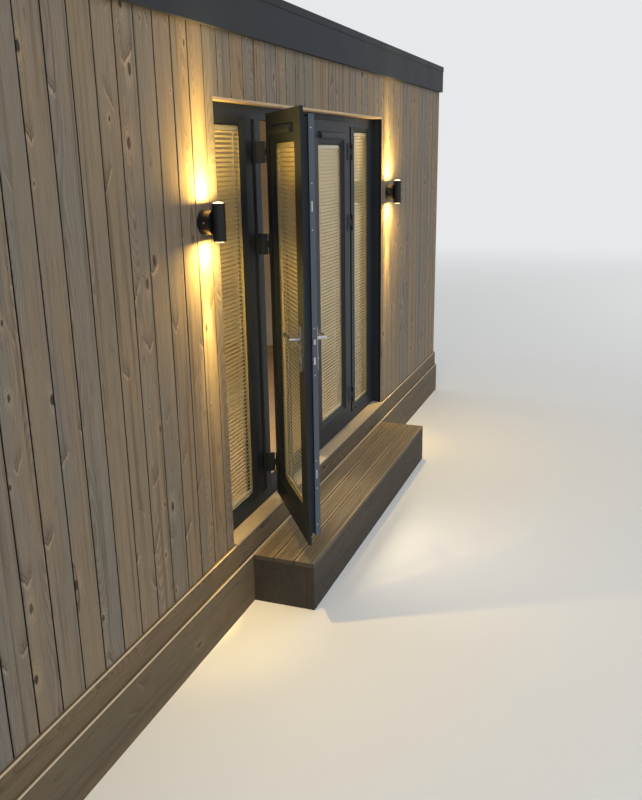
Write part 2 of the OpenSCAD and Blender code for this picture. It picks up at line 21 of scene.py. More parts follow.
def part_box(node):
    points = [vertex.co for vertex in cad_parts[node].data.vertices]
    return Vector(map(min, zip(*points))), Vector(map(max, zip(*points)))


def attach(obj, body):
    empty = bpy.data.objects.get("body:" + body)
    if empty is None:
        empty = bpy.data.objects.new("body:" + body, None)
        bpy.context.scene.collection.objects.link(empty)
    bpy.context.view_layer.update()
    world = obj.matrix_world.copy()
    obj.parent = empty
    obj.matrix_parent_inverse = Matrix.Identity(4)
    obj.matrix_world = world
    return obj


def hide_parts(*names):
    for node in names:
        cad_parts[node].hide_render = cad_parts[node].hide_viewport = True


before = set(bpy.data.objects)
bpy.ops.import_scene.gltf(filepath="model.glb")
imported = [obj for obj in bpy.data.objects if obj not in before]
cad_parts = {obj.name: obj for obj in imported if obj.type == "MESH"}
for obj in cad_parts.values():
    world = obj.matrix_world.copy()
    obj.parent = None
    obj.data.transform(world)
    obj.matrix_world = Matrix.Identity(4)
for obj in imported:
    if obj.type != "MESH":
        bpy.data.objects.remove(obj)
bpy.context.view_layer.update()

log = logging.getLogger("pod")

Colour = tuple[float, float, float]
Point = tuple[float, float, float]
Outline = list[tuple[float, float]]
Pieces = Iterator[bpy.types.Object]

X_AXIS = Vector((1.0, 0.0, 0.0))
Y_AXIS = Vector((0.0, 1.0, 0.0))
Z_AXIS = Vector((0.0, 0.0, 1.0))


class Body(Enum):
    """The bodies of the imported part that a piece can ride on."""

    POD = "pod"
    LEFT_DOOR = "left_door"
    RIGHT_DOOR = "right_door"


class Run(Enum):
    """Which way the grain of a finish runs."""

    BOARD = "each board's own length"
    ALONG_X = "along X"
    ALONG_Z = "along Z"


# Node trees


@dataclass(frozen=True)
class Signal:
    """What a node gives out, with the usual signs for sums on it.

    Attributes:
        recipe: The node tree that it belongs to.
        socket: The node's output.
    """

    recipe: "Recipe"
    socket: bpy.types.NodeSocket

    def __add__(self, other: "Source") -> "Signal":
        """This and another."""
        return self.recipe.math("ADD", self, other)

    def __radd__(self, other: "Source") -> "Signal":
        """A plain number and this."""
        return self.recipe.math("ADD", other, self)

    def __sub__(self, other: "Source") -> "Signal":
        """This less another."""
        return self.recipe.math("SUBTRACT", self, other)

    def __mul__(self, other: "Source") -> "Signal":
        """This times another."""
        return self.recipe.math("MULTIPLY", self, other)

    def __truediv__(self, other: "Source") -> "Signal":
        """This over another."""
        return self.recipe.math("DIVIDE", self, other)

    def __abs__(self) -> "Signal":
        """This without its sign."""
        return self.recipe.math("ABSOLUTE", self)


Source = Signal | float | Point
Place = tuple[Signal, Signal, Signal]
Inputs = dict[int | str, Source]


class Recipe:
    """The node tree of a material or a world, with short calls that add and join its nodes."""

    def __init__(self, owner: bpy.types.Material | bpy.types.World) -> None:
        """Starts the tree.

        Args:
            owner: What the tree belongs to.
        """
        self.owner = owner
        owner.use_nodes = True
        self.nodes = owner.node_tree.nodes
        self.links = owner.node_tree.links

    @classmethod
    def named(cls, name: str) -> "Recipe":
        """The recipe of a new material."""
        return cls(bpy.data.materials.new(name))

    def put(self, socket: bpy.types.NodeSocket, value: Source) -> None:
        """Joins a socket to a signal, or sets its own value.

        Args:
            socket: The input to fill.
            value: A signal to join, a number, or three numbers.
        """
        if isinstance(value, Signal):
            self.links.new(value.socket, socket)
        elif socket.type == "RGBA":
            socket.default_value = (*value, 1.0)
        else:
            socket.default_value = value

    def node(self, kind: str, inputs: Inputs | None = None, **settings: object) -> bpy.types.Node:
        """Adds a node.

        Args:
            kind: The node's type, without its ShaderNode prefix.
            inputs: What each input takes, by index or name.
            **settings: The node's own settings.

        Returns:
            The new node.
        """
        node = self.nodes.new("ShaderNode" + kind)
        for key, value in settings.items():
            setattr(node, key, value)
        for key, value in (inputs or {}).items():
            self.put(node.inputs[key], value)
        return node

    def take(self, node: bpy.types.Node, key: int | str = 0) -> Signal:
        """One of a node's outputs."""
        return Signal(self, node.outputs[key])

    def add(
        self, kind: str, inputs: Inputs | None = None, key: int | str = 0, **settings: object
    ) -> Signal:
        """Adds a node and takes one of its outputs.

        Args:
            kind: The node's type, without its ShaderNode prefix.
            inputs: What each input takes, by index or name.
            key: Index or name of the output.
            **settings: The node's own settings.

        Returns:
            The output.
        """
        return self.take(self.node(kind, inputs, **settings), key)

    def surface(self, **inputs: Source) -> bpy.types.Material:
        """Fills the inputs of the material's shader.

        Args:
            **inputs: Values by input name, with an underscore for each space.

        Returns:
            The finished material.
        """
        for key, value in inputs.items():
            self.put(self.nodes["Principled BSDF"].inputs[key.replace("_", " ")], value)
        return self.owner

    def blend(self, share: Signal, first: Signal, second: Signal) -> None:
        """Shows a blend of two shaders.

        Args:
            share: How much of the second shader shows, from 0 to 1.
            first: The first shader.
            second: The second shader.
        """
        both = self.add("MixShader", {0: share, 1: first, 2: second})
        output = next(node for node in self.nodes if "Surface" in node.inputs)
        self.put(output.inputs["Surface"], both)

    def seen(self) -> Signal:
        """1 for a ray from the camera, through glass or off a mirror, and 0 for other light."""
        path = self.node("LightPath")
        rays = ("Is Camera Ray", "Is Transmission Ray", "Is Glossy Ray")
        return self.most(*(self.take(path, ray) for ray in rays))

    def math(self, operation: str, first: Source, second: Source = 0.0) -> Signal:
        """Works out one sum.

        Args:
            operation: The Math node's operation.
            first: The first number.
            second: The second number.

        Returns:
            The result.
        """
        return self.add("Math", {0: first, 1: second}, operation=operation)

    def most(self, *signals: Signal) -> Signal:
        """The highest of some signals."""
        return reduce(lambda high, signal: self.math("MAXIMUM", high, signal), signals)

    def fade(
        self, value: Source, start: Source, end: Source, low: float = 0.0, high: float = 1.0
    ) -> Signal:
        """Maps a number smoothly from one range to another.

        Args:
            value: The number to map.
            start: Where the result begins to leave low.
            end: Where the result reaches high.
            low: The result at start and before it.
            high: The result at end and past it.

        Returns:
            The mapped number.
        """
        inputs = {0: value, 1: start, 2: end, 3: low, 4: high}
        return self.add("MapRange", inputs, interpolation_type="SMOOTHSTEP")

    def mix(self, share: Source, low: Source, high: Source, blend: str = "MIX") -> Signal:
        """Blends two colours.

        Args:
            share: How much of the second colour shows, from 0 to 1.
            low: The first colour.
            high: The second colour.
            blend: The way in which they blend.

        Returns:
            The blended colour.
        """
        inputs = {0: share, 6: low, 7: high}
        return self.add("Mix", inputs, 2, data_type="RGBA", blend_type=blend)

    def parts(self, vector: Source) -> Place:
        """The three numbers of a vector."""
        node = self.node("SeparateXYZ", {0: vector})
        return self.take(node, 0), self.take(node, 1), self.take(node, 2)

    def join(self, first: Source, second: Source, third: Source = 0.0) -> Signal:
        """The vector of three numbers."""
        return self.add("CombineXYZ", {0: first, 1: second, 2: third})

    def vector(self, operation: str, first: Source, second: Source, key: int | str = 0) -> Signal:
        """Works out one sum of vectors.

        Args:
            operation: The VectorMath node's operation.
            first: The first vector.
            second: The second vector.
            key: Index or name of the output.

        Returns:
            The result.
        """
        return self.add("VectorMath", {0: first, 1: second}, key, operation=operation)

    def length(self, vector: Source) -> Signal:
        """The length of a vector."""
        return self.add("VectorMath", {0: vector}, "Value", operation="LENGTH")

    def noise(self, place: Source, scale: float = 1.0, detail: float = 2.0) -> Signal:
        """Soft noise from about 0.2 to 0.8.

        Args:
            place: The vector at which it is read.
            scale: How fine it is, in lumps to a metre.
            detail: How many finer layers it has.

        Returns:
            The noise.
        """
        return self.add("TexNoise", {"Vector": place, "Scale": scale, "Detail": detail})

    def grain(self, place: Place, fine: float, long: float, detail: float = 2.0) -> Signal:
        """Noise that is drawn out along the grain.

        Args:
            place: The distances across, into and along the grain.
            fine: How fine it is across and into the grain, in lumps to a metre.
            long: The same along the grain.
            detail: How many finer layers it has.

        Returns:
            The noise.
        """
        scaled = self.vector("MULTIPLY", self.join(*place), (fine, fine, long))
        return self.noise(scaled, detail=detail)

    def face(self, place: Place, fine: float, long: float) -> Signal:
        """The place on a face, scaled across the grain and along it.

        Args:
            place: The distances across, into and along the grain.
            fine: The factor across the grain.
            long: The factor along it.

        Returns:
            The vector.
        """
        return self.vector("MULTIPLY", self.join(place[0], place[2]), (fine, long, 1.0))

    def bump(self, height: Source) -> Signal:
        """The normal that a height in metres makes."""
        return self.add("Bump", {"Height": height, "Distance": 1.0, "Strength": 1.0})

    def spot(self) -> Signal:
        """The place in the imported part."""
        return self.add("TexCoord", key="Object")

    def upward(self) -> Signal:
        """How far a face looks up, from -1 to 1."""
        return self.parts(self.add("NewGeometry", key="Normal"))[2]

    def attribute(self, name: str) -> Place:
        """The three numbers that a piece's corners carry under a name."""
        return self.parts(self.add("Attribute", key="Vector", attribute_name=name))

    def directions(self, run: Run) -> Place:
        """Where a point lies across, into and along the grain.

        Args:
            run: Which way the grain runs.

        Returns:
            The three distances.
        """
        if run is Run.BOARD:
            return self.attribute("grain")
        x, y, z = self.parts(self.spot())
        return (z, y, x) if run is Run.ALONG_X else (x, y, z)


class Cells:
    """Uneven cells over a face, each with a point in it and chances of its own."""

    def __init__(
        self, recipe: Recipe, place: Place, size: tuple[float, float], uneven: float
    ) -> None:
        """Divides the face.

        Args:
            recipe: The node tree to add to.
            place: The distances across, into and along the grain.
            size: Cells to a metre across the grain and along it.
            uneven: How uneven they are, from 0 to 1.
        """
        self.recipe = recipe
        self.face = recipe.face(place, *size)
        inputs = {"Vector": self.face, "Scale": 1.0, "Randomness": uneven}
        self.node = recipe.node("TexVoronoi", inputs, voronoi_dimensions="2D")

    def chances(self) -> Place:
        """Three numbers from 0 to 1 that differ from cell to cell."""
        return self.recipe.parts(self.recipe.take(self.node, "Color"))

    def distance(self) -> Signal:
        """The distance from the cell's point, in cells."""
        return self.recipe.take(self.node, "Distance")

    def offset(self) -> Place:
        """The way from the cell's point, in cells across the grain and along it."""
        point = self.recipe.take(self.node, "Position")
        return self.recipe.parts(self.recipe.vector("SUBTRACT", self.face, point))


# Finishes


class Finish(Protocol):
    """What every finish offers.

    Attributes:
        name: The material's name.
        slot: The record's material slot.
    """

    name: str
    slot: str

    def material(self) -> bpy.types.Material:
        """Makes the finish's material."""


@cache
def dressed(finish: Finish) -> bpy.types.Material:
    """The one material of a finish, made when it is first asked for."""
    return finish.material()


@dataclass(frozen=True)
class Timber:
    """Softwood with growth rings, fibres, knots and weather on it.

    Attributes:
        name: The material's name.
        slot: The record's material slot; not used.
        fresh: Colour of the browner boards.
        weathered: Colour of the greyer boards.
        run: Which way the grain runs.
        browner: Share of the fresh colour where boards have no tone of their own.
        ring_gap: Distance from one growth ring to the next.
        ring_depth: How dark the rings are.
        knots: Share of the possible knots that show.
        chevrons: How strong the chevrons of grain by the branches are.
        cup: How steeply their arms rise.
        streaks: How dark the long weather streaks are.
        groove_soil_and_shade: How dark the grooves between boards are: some dirt, and painted shade
            that deepens with the depth behind the face.
        ledge_highlight: How much paler the outer edge of an upward face is: a painted highlight
            where light catches it.
        roughness: Roughness of the surface.
        relief: Height of the fibres.
        knot_cells: Possible knots to a metre across the grain and along it.
        chevron_cells: The same of possible chevrons.
        spike_cells: The same of possible branches laid open.
    """

    name: str
    slot: str
    fresh: Colour
    weathered: Colour
    run: Run = Run.BOARD
    browner: float = 0.5
    ring_gap: float = 0.0065
    ring_depth: float = 0.45
    knots: float = 0.30
    chevrons: float = 0.0
    cup: float = 1.5
    streaks: float = 0.5
    groove_soil_and_shade: float = 0.0
    ledge_highlight: float = 0.0
    roughness: float = 0.8
    relief: float = 0.00025
    knot_cells: tuple[float, float] = (7.7, 3.9)
    chevron_cells: tuple[float, float] = (7.4, 2.1)
    spike_cells: tuple[float, float] = (6.3, 1.15)

    def _knots(self, recipe: Recipe, place: Place, share: Source) -> Place:
        """Places the knots.

        Args:
            recipe: The node tree to add to.
            place: The distances across, into and along the grain.
            share: Share of the possible knots that show.

        Returns:
            The knots, the wider rings that the grain makes round them, and how
            brown each knot is.
        """
        cells = Cells(recipe, place, self.knot_cells, 0.95)
        chance, size, age = cells.chances()
        present = recipe.math("LESS_THAN", chance, share)
        rough = recipe.noise(recipe.face(place, 160.0, 60.0))
        distance = cells.distance() * recipe.fade(rough, 0.2, 0.8, 0.8, 1.2)
        ratio = distance / recipe.fade(size, 0.1, 1.0, 0.030, 0.110)
        knot = present * recipe.fade(ratio, 1.0, 0.55)
        halo = present * recipe.fade(ratio, 3.6, 0.9)
        return knot, halo, age

    def _rings(self, recipe: Recipe, place: Place, halo: Signal) -> Signal:
        """Draws the growth rings, which swell to long arches where the heart comes near.

        Args:
            recipe: The node tree to add to.
            place: The distances across, into and along the grain.
            halo: The rings round the knots.

        Returns:
            The dark late wood, from 0 to 1.
        """
        across, depth, along = place
        slow = recipe.vector("MULTIPLY", recipe.join(0.0, 0.0, along), (1.0, 1.0, 0.9))
        lean = (recipe.noise(slow, detail=1.0) - 0.5) * 0.28
        wobble = recipe.grain(place, 16.0, 1.7) * 0.016
        radius = recipe.length(recipe.join(across, depth + lean)) + (wobble + halo * 0.012)
        phase = recipe.math("FRACT", radius / self.ring_gap)
        return recipe.fade(phase, 0.35, 0.9) * recipe.fade(phase, 1.0, 0.92)

    def _chevrons(self, recipe: Recipe, place: Place, amount: Source) -> tuple[Signal, Signal]:
        """Draws the small chevrons of grain where the saw cut past a branch.

        Args:
            recipe: The node tree to add to.
            place: The distances across, into and along the grain.
            amount: Share of the possible chevrons that show.

        Returns:
            The dark lines and shade, and the pale edge under them.
        """
        cells = Cells(recipe, place, self.chevron_cells, 0.85)
        chance, size, lean = cells.chances()
        side, end, _ = cells.offset()
        side, end = side / self.chevron_cells[0], end / self.chevron_cells[1]
        slope = recipe.fade(chance, 0.0, 1.0, 0.55, 1.6) * self.cup
        ragged = (recipe.noise(recipe.face(place, 120.0, 26.0), detail=3.0) - 0.5) * 0.030
        edge = end + ragged - abs(side) * slope
        aside = abs(side - (lean - 0.5) * 0.075) / recipe.fade(size, 0.0, 1.0, 0.018, 0.050)
        window = recipe.fade(aside, 1.0, 0.45) * recipe.fade(size, 0.1, 0.7, 0.45, 1.0)
        strength = window * recipe.math("LESS_THAN", chance, amount) * self.chevrons
        line = recipe.fade(abs(edge - 0.004), 0.008, 0.001)
        inner = recipe.fade(abs(edge - 0.026), 0.009, 0.001, 0.0, 0.7)
        shade = recipe.fade(edge, 0.10, 0.0, 0.0, 0.45) * recipe.fade(edge, 0.0, 0.004)
        pale = recipe.fade(abs(edge + 0.011), 0.014, 0.002)
        return recipe.most(line, inner, shade) * strength, pale * strength

    def _spikes(self, recipe: Recipe, place: Place, share: Source) -> Signal:
        """Draws the long teardrops of branches that the saw laid open along a board.

        Args:
            recipe: The node tree to add to.
            place: The distances across, into and along the grain.
            share: Share of the possible knots that show.

        Returns:
            The teardrops, darkest round their rims.
        """
        cells = Cells(recipe, place, self.spike_cells, 0.9)
        chance, size, _ = cells.chances()
        present = recipe.math("LESS_THAN", chance, share * 0.40)
        taper = recipe.fade(cells.offset()[1], -0.10, 0.12, 0.85, 1.9)
        ratio = cells.distance() * taper / recipe.fade(size, 0.0, 1.0, 0.06, 0.13)
        rim = recipe.fade(abs(ratio - 0.82), 0.30, 0.04)
        core = recipe.fade(ratio, 0.95, 0.75, 0.0, 0.45)
        return present * recipe.most(rim, core)

    def material(self) -> bpy.types.Material:
        """Makes the timber's material.

        Returns:
            The material.
        """
        recipe = Recipe.named(self.name)
        place = recipe.directions(self.run)
        tone, inset, share, amount = self.browner, 0.0, self.knots, 1.0
        if self.run is Run.BOARD:
            tone, inset, knotty = recipe.attribute("board")
            share = knotty * self.knots
            amount = recipe.fade(knotty, -0.6, 0.6)
        knot, halo, age = self._knots(recipe, place, share)
        ring = self._rings(recipe, place, halo)
        fibre = recipe.grain(place, 430.0, 9.0, 3.0)
        streak = recipe.grain(place, 42.0, 0.9, 3.0)
        drift = (recipe.grain(place, 7.0, 1.1) - 0.5) * 1.2
        colour = recipe.mix(recipe.fade(tone + drift, 0.0, 1.0), self.weathered, self.fresh)
        marks = [
            (recipe.fade(streak, 0.50, 0.72, 0.0, self.streaks), STREAKED),
            (recipe.fade(streak, 0.45, 0.28, 0.0, 0.35), BLEACHED),
            (ring * self.ring_depth, LATE_WOOD),
            (recipe.fade(fibre, 0.42, 0.70, 0.0, 0.45), FIBROUS),
        ]
        if self.chevrons:
            dark, pale = self._chevrons(recipe, place, amount)
            smudge = recipe.fade(recipe.grain(place, 36.0, 9.0, 3.0), 0.62, 0.76) * amount
            spike = self._spikes(recipe, place, share) * 0.85
            marks += [(dark, TORN), (pale, RAISED), (spike, BRANCH), (smudge * 0.7, SMUDGED)]
        for weight, tint in [*marks, (halo * 0.60, RESINOUS)]:
            colour = recipe.mix(weight, colour, tint, "MULTIPLY")
        heart = recipe.mix(recipe.fade(age, 0.3, 0.9), DEAD_KNOT, LIVE_KNOT)
        colour = recipe.mix(knot * 0.9, colour, heart)
        # Grooves between boards: some dirt and painted shade, darker the deeper they lie behind the
        # face
        if self.groove_soil_and_shade:
            groove_dark = recipe.fade(inset, 0.0010, 0.0038, 0.0, self.groove_soil_and_shade)
            colour = recipe.mix(groove_dark, colour, GROOVE_DIRT_AND_SHADE)
        # Painted highlight: the front edge of an upward face, such as the plinth's sloped top, is
        # painted paler where light catches it
        if self.ledge_highlight:
            wear_and_highlight = recipe.fade(recipe.upward(), 0.3, 0.8, 0.0, self.ledge_highlight)
            colour = recipe.mix(wear_and_highlight * recipe.fade(inset, 0.006, 0.004), colour, PAINTED_LEDGE_HIGHLIGHT)
        relief = self.relief
        height = fibre * relief - ring * (0.6 * relief) - knot * (1.6 * relief)
        return recipe.surface(
            Base_Color=colour,
            Roughness=recipe.fade(fibre, 0.3, 0.7, self.roughness - 0.07, self.roughness + 0.07),
            Normal=recipe.bump(height),
            Specular_IOR_Level=0.35,
        )


@dataclass(frozen=True)
class SatinFoil:
    """The frames' anthracite foil: satin, with a fine emboss along the member.

    Attributes:
        name: The material's name.
        slot: The record's material slot; not used.
        run: Which way the emboss runs.
        colour: Colour of the foil.
        roughness: Roughness of the foil.
        hinge: The leaf's hinge axis, or None on the fixed frame.
        inward: The leaf's direction from its outer face to its inner face.
        bare: Colour of the plain edge behind the lip.
        bare_from: Distance from the hinge axis, inward, at which that edge starts.
        sharpness: Half of the width over which it starts.
    """

    name: str
    slot: str = "frame"
    run: Run = Run.ALONG_Z
    colour: Colour = (0.020, 0.024, 0.029)
    roughness: float = 0.42
    hinge: Point | None = None
    inward: Point = (0.0, 1.0, 0.0)
    bare: Colour = (0.095, 0.112, 0.138)
    bare_from: float = 0.058
    sharpness: float = 0.0003

    def _edge(self, recipe: Recipe) -> Signal:
        """Finds the plain edge behind a leaf's lip.

        Args:
            recipe: The node tree to add to.

        Returns:
            1 on that edge and 0 elsewhere.
        """
        coordinates = recipe.node("TexCoord")
        away = recipe.vector("SUBTRACT", recipe.take(coordinates, "Object"), self.hinge)
        normal = recipe.take(coordinates, "Normal")
        depth = recipe.vector("DOT_PRODUCT", away, self.inward, "Value")
        facing = recipe.vector("DOT_PRODUCT", normal, self.inward, "Value")
        start, end = self.bare_from - self.sharpness, self.bare_from + self.sharpness
        return recipe.fade(abs(facing), 0.3, 0.1) * recipe.fade(depth, start, end)

    def material(self) -> bpy.types.Material:
        """Makes the foil's material.

        Returns:
            The material.
        """
        recipe = Recipe.named(self.name)
        place = recipe.directions(self.run)
        emboss = recipe.grain(place, 900.0, 26.0)
        cloud = recipe.grain(place, 5.0, 2.0, 3.0)
        paler = tuple(1.30 * part for part in self.colour)
        colour = recipe.mix(recipe.fade(cloud, 0.35, 0.7), self.colour, paler)
        if self.hinge is not None:
            colour = recipe.mix(self._edge(recipe), colour, self.bare)
        return recipe.surface(
            Base_Color=colour,
            Roughness=recipe.fade(cloud, 0.3, 0.7, self.roughness - 0.05, self.roughness + 0.08),
            Normal=recipe.bump(emboss * 0.00002),
            Specular_IOR_Level=0.1,
        )


@dataclass(frozen=True)
class PowderCoat:
    """Sprayed paint on sheet metal or board: fine peel, faint clouds and settled dust.

    Attributes:
        name: The material's name.
        slot: The record's material slot; not used.
        colour: Colour of the paint.
        roughness: Roughness of the paint.
        peel: Height of the fine peel.
        dust: How much dust lies on upward faces.
        clouds: How much the colour varies.
        swell: Height of the slow unevenness of the sheet.
        shine: How much it mirrors.
    """

    name: str
    slot: str
    colour: Colour
    roughness: float = 0.45
    peel: float = 0.00003
    dust: float = 0.25
    clouds: float = 0.25
    swell: float = 0.0
    shine: float = 0.3

    def material(self) -> bpy.types.Material:
        """Makes the paint's material.

        Returns:
            The material.
        """
        recipe = Recipe.named(self.name)
        place = recipe.spot()
        cloud = recipe.noise(place, 2.3, 4.0)
        speck = recipe.noise(place, 60.0)
        paler = tuple(part * (1.0 + self.clouds) + 0.004 for part in self.colour)
        colour = recipe.mix(recipe.fade(cloud, 0.35, 0.65), self.colour, paler)
        lying = recipe.fade(recipe.upward(), 0.4, 0.95, 0.0, self.dust)
        colour = recipe.mix(lying * recipe.fade(speck, 0.3, 0.7), colour, DUST)
        height = recipe.noise(place, 700.0, 1.0) * self.peel
        if self.swell:
            height = height + recipe.noise(place, 1.4, 1.0) * self.swell
        return recipe.surface(
            Base_Color=colour,
            Roughness=recipe.fade(cloud, 0.3, 0.7, self.roughness - 0.06, self.roughness + 0.08),
            Normal=recipe.bump(height),
            Specular_IOR_Level=self.shine,
        )


@dataclass(frozen=True)
class RubberSheet:
    """The roof's rubber membrane with its lapped seams, creases and dried puddles.

    Attributes:
        name: The material's name.
        slot: The record's material slot; not used.
        colour: Colour of the rubber.
        dried: Colour of the dirt that puddles left.
        lapped: Colour of the laps.
        seam_start: Distance from the middle to where the seams are counted from.
        seam_pitch: Distance from one lapped seam to the next.
        seam_width: Width of the lap that shows.
        seam_h: Height of the lap.
        crease_h: Height of the creases.
    """

    name: str = "rubber_membrane"
    slot: str = "membrane"
    colour: Colour = (0.026, 0.027, 0.029)
    dried: Colour = (0.105, 0.098, 0.088)
    lapped: Colour = (0.014, 0.015, 0.016)
    seam_start: float = 7.0
    seam_pitch: float = 1.4
    seam_width: float = 0.075
    seam_h: float = 0.0012
    crease_h: float = 0.004

    def material(self) -> bpy.types.Material:
        """Makes the membrane's material.

        Returns:
            The material.
        """
        recipe = Recipe.named(self.name)
        place = recipe.spot()
        along = recipe.parts(place)[0]
        turn = recipe.math("FRACT", (along + self.seam_start) / self.seam_pitch)
        edge = self.seam_width / self.seam_pitch
        lap = recipe.fade(turn, 0.0, 0.002) * recipe.fade(turn, edge, edge - 0.002)
        crease = recipe.noise(place, 1.7, 5.0)
        puddle = recipe.noise(place, 0.8, 3.0)
        grain = recipe.noise(place, 300.0)
        dust = recipe.fade(puddle, 0.48, 0.62, 0.0, 0.5) * recipe.fade(grain, 0.2, 0.7, 0.5, 1.0)
        colour = recipe.mix(dust, self.colour, self.dried)
        colour = recipe.mix(lap * 0.5, colour, self.lapped)
        height = crease * self.crease_h + lap * self.seam_h + grain * 0.00006
        rough = recipe.fade(puddle, 0.4, 0.65, 0.55, 0.82)
        return recipe.surface(Base_Color=colour, Roughness=rough, Normal=recipe.bump(height))


@dataclass(frozen=True)
class RibbedComposite:
    """Wood-filled plastic of the deck boards: brown-grey, scuffed and streaked.

    Attributes:
        name: The material's name.
        slot: The record's material slot; not used.
        colour: The darker colour.
        wear_and_highlight: The paler colour of the ribs that feet rub.
        fleck: Colour of the wood's flecks.
        scuff: Colour of the scuffed patches.
        groove_dark: Colour that the grooves between the ribs darken to, deeper down.
        top: Height of the ribs' tops.
        groove: Depth of the grooves between them.
        relief: Height of the flecks and the streaks.
    """

    name: str = "deck_composite"
    slot: str = "deck"
    colour: Colour = (0.205, 0.152, 0.086)
    wear_and_highlight: Colour = (0.325, 0.245, 0.145)
    fleck: Colour = (0.08, 0.06, 0.045)
    scuff: Colour = (0.31, 0.25, 0.17)
    groove_dark: Colour = (0.035, 0.028, 0.020)
    top: float = 0.264
    groove: float = 0.002
    relief: float = 0.0002

    def material(self) -> bpy.types.Material:
        """Makes the composite's material.

        Returns:
            The material.
        """
        recipe = Recipe.named(self.name)
        place = recipe.directions(Run.ALONG_X)
        streak = recipe.grain(place, 90.0, 1.6, 3.0)
        fleck = recipe.grain(place, 600.0, 120.0)
        scuff = recipe.grain(place, 3.0, 3.0, 4.0)
        high, low = self.top - 0.2 * self.groove, self.top - 0.8 * self.groove
        colour = recipe.mix(recipe.fade(streak, 0.35, 0.68), self.colour, self.wear_and_highlight)
        colour = recipe.mix(recipe.fade(fleck, 0.5, 0.75, 0.0, 0.5), colour, self.fleck)
        colour = recipe.mix(recipe.fade(scuff, 0.5, 0.72, 0.0, 0.4), colour, self.scuff)
        # The grooves between the ribs darken towards their bottoms
        colour = recipe.mix(recipe.fade(place[0], high, low, 0.0, 0.85), colour, self.groove_dark)
        normal = recipe.bump(fleck * self.relief + streak * self.relief)
        rough = recipe.fade(scuff, 0.3, 0.7, 0.5, 0.72)
        return recipe.surface(Base_Color=colour, Roughness=rough, Normal=normal)


@dataclass(frozen=True)
class Enamel:
    """Stoved paint on the blinds' slats and rails.

    Attributes:
        name: The material's name.
        slot: The record's material slot; not used.
        colour: Colour of the paint.
        shade: Colour where the paint has dulled.
        roughness: Roughness of the paint.
        relief: Height of its fine grain.
    """

    name: str = "blind_enamel"
    slot: str = "blind"
    colour: Colour = (0.800, 0.640, 0.350)
    shade: Colour = (0.680, 0.520, 0.260)
    roughness: float = 0.38
    relief: float = 0.00001

    def material(self) -> bpy.types.Material:
        """Makes the enamel's material.

        Returns:
            The material.
        """
        recipe = Recipe.named(self.name)
        place = recipe.directions(Run.ALONG_X)
        haze = recipe.grain(place, 4.0, 4.0, 3.0)
        grain = recipe.grain(place, 500.0, 500.0)
        colour = recipe.mix(recipe.fade(haze, 0.35, 0.7, 0.0, 0.7), self.colour, self.shade)
        rough = recipe.fade(haze, 0.3, 0.7, self.roughness - 0.06, self.roughness + 0.12)
        normal = recipe.bump(grain * self.relief)
        return recipe.surface(Base_Color=colour, Roughness=rough, Normal=normal)


@dataclass(frozen=True)
class ClearGlass:
    """Float glass that lets the light through and mirrors more at a low angle.

    Attributes:
        name: The material's name.
        slot: The record's material slot; not used.
        tint: Colour of the light that passes.
        smeared: The same where the glass is smeared.
        straight: How much one face mirrors seen straight on.
        graze: How much more it mirrors seen along it.
        wave: Height of the slow waves in the glass.
    """

    name: str = "clear_glass"
    slot: str = "glazing"
    tint: Colour = (0.972, 0.984, 0.978)
    smeared: Colour = (0.960, 0.972, 0.966)
    straight: float = 0.018
    graze: float = 0.45
    wave: float = 0.0012

    def material(self) -> bpy.types.Material:
        """Makes the glass's material.

        Returns:
            The material.
        """
        recipe = Recipe.named(self.name)
        place = recipe.spot()
        smear = recipe.noise(place, 3.0, 4.0)
        passed = recipe.mix(recipe.fade(smear, 0.4, 0.7), self.tint, self.smeared)
        wave = recipe.bump(recipe.noise(place, 1.1, 1.0) * self.wave)
        rough = recipe.fade(smear, 0.45, 0.75, 0.01, 0.05)
        facing = recipe.add("LayerWeight", {"Blend": 0.5}, "Facing")
        share = recipe.math("POWER", facing, 5.0) * self.graze + self.straight
        through = recipe.add("BsdfTransparent", {"Color": passed})
        mirror = recipe.add("BsdfGlossy", {"Roughness": rough, "Normal": wave})
        recipe.blend(share, through, mirror)
        recipe.nodes.remove(recipe.nodes["Principled BSDF"])
        return recipe.owner


@dataclass(frozen=True)
class BrushedSteel:
    """Steel with brush marks along one direction.

    Attributes:
        name: The material's name.
        slot: The record's material slot; not used.
        colour: Colour of the metal.
        run: Which way the marks run.
        roughness: Roughness of the metal.
        relief: Height of the marks.
    """

    name: str = "brushed_steel"
    slot: str = "handle"
    colour: Colour = (0.60, 0.60, 0.61)
    run: Run = Run.ALONG_Z
    roughness: float = 0.28
    relief: float = 0.00001

    def material(self) -> bpy.types.Material:
        """Makes the steel's material.

        Returns:
            The material.
        """
        recipe = Recipe.named(self.name)
        place = recipe.directions(self.run)
        marks = recipe.grain(place, 1800.0, 22.0)
        smudge = recipe.grain(place, 18.0, 18.0, 3.0)
        darker = tuple(0.72 * part for part in self.colour)
        return recipe.surface(
            Base_Color=recipe.mix(recipe.fade(marks, 0.35, 0.7, 0.0, 0.6), self.colour, darker),
            Metallic=1.0,
            Roughness=recipe.fade(smudge, 0.3, 0.7, self.roughness - 0.05, self.roughness + 0.12),
            Normal=recipe.bump(marks * self.relief),
        )


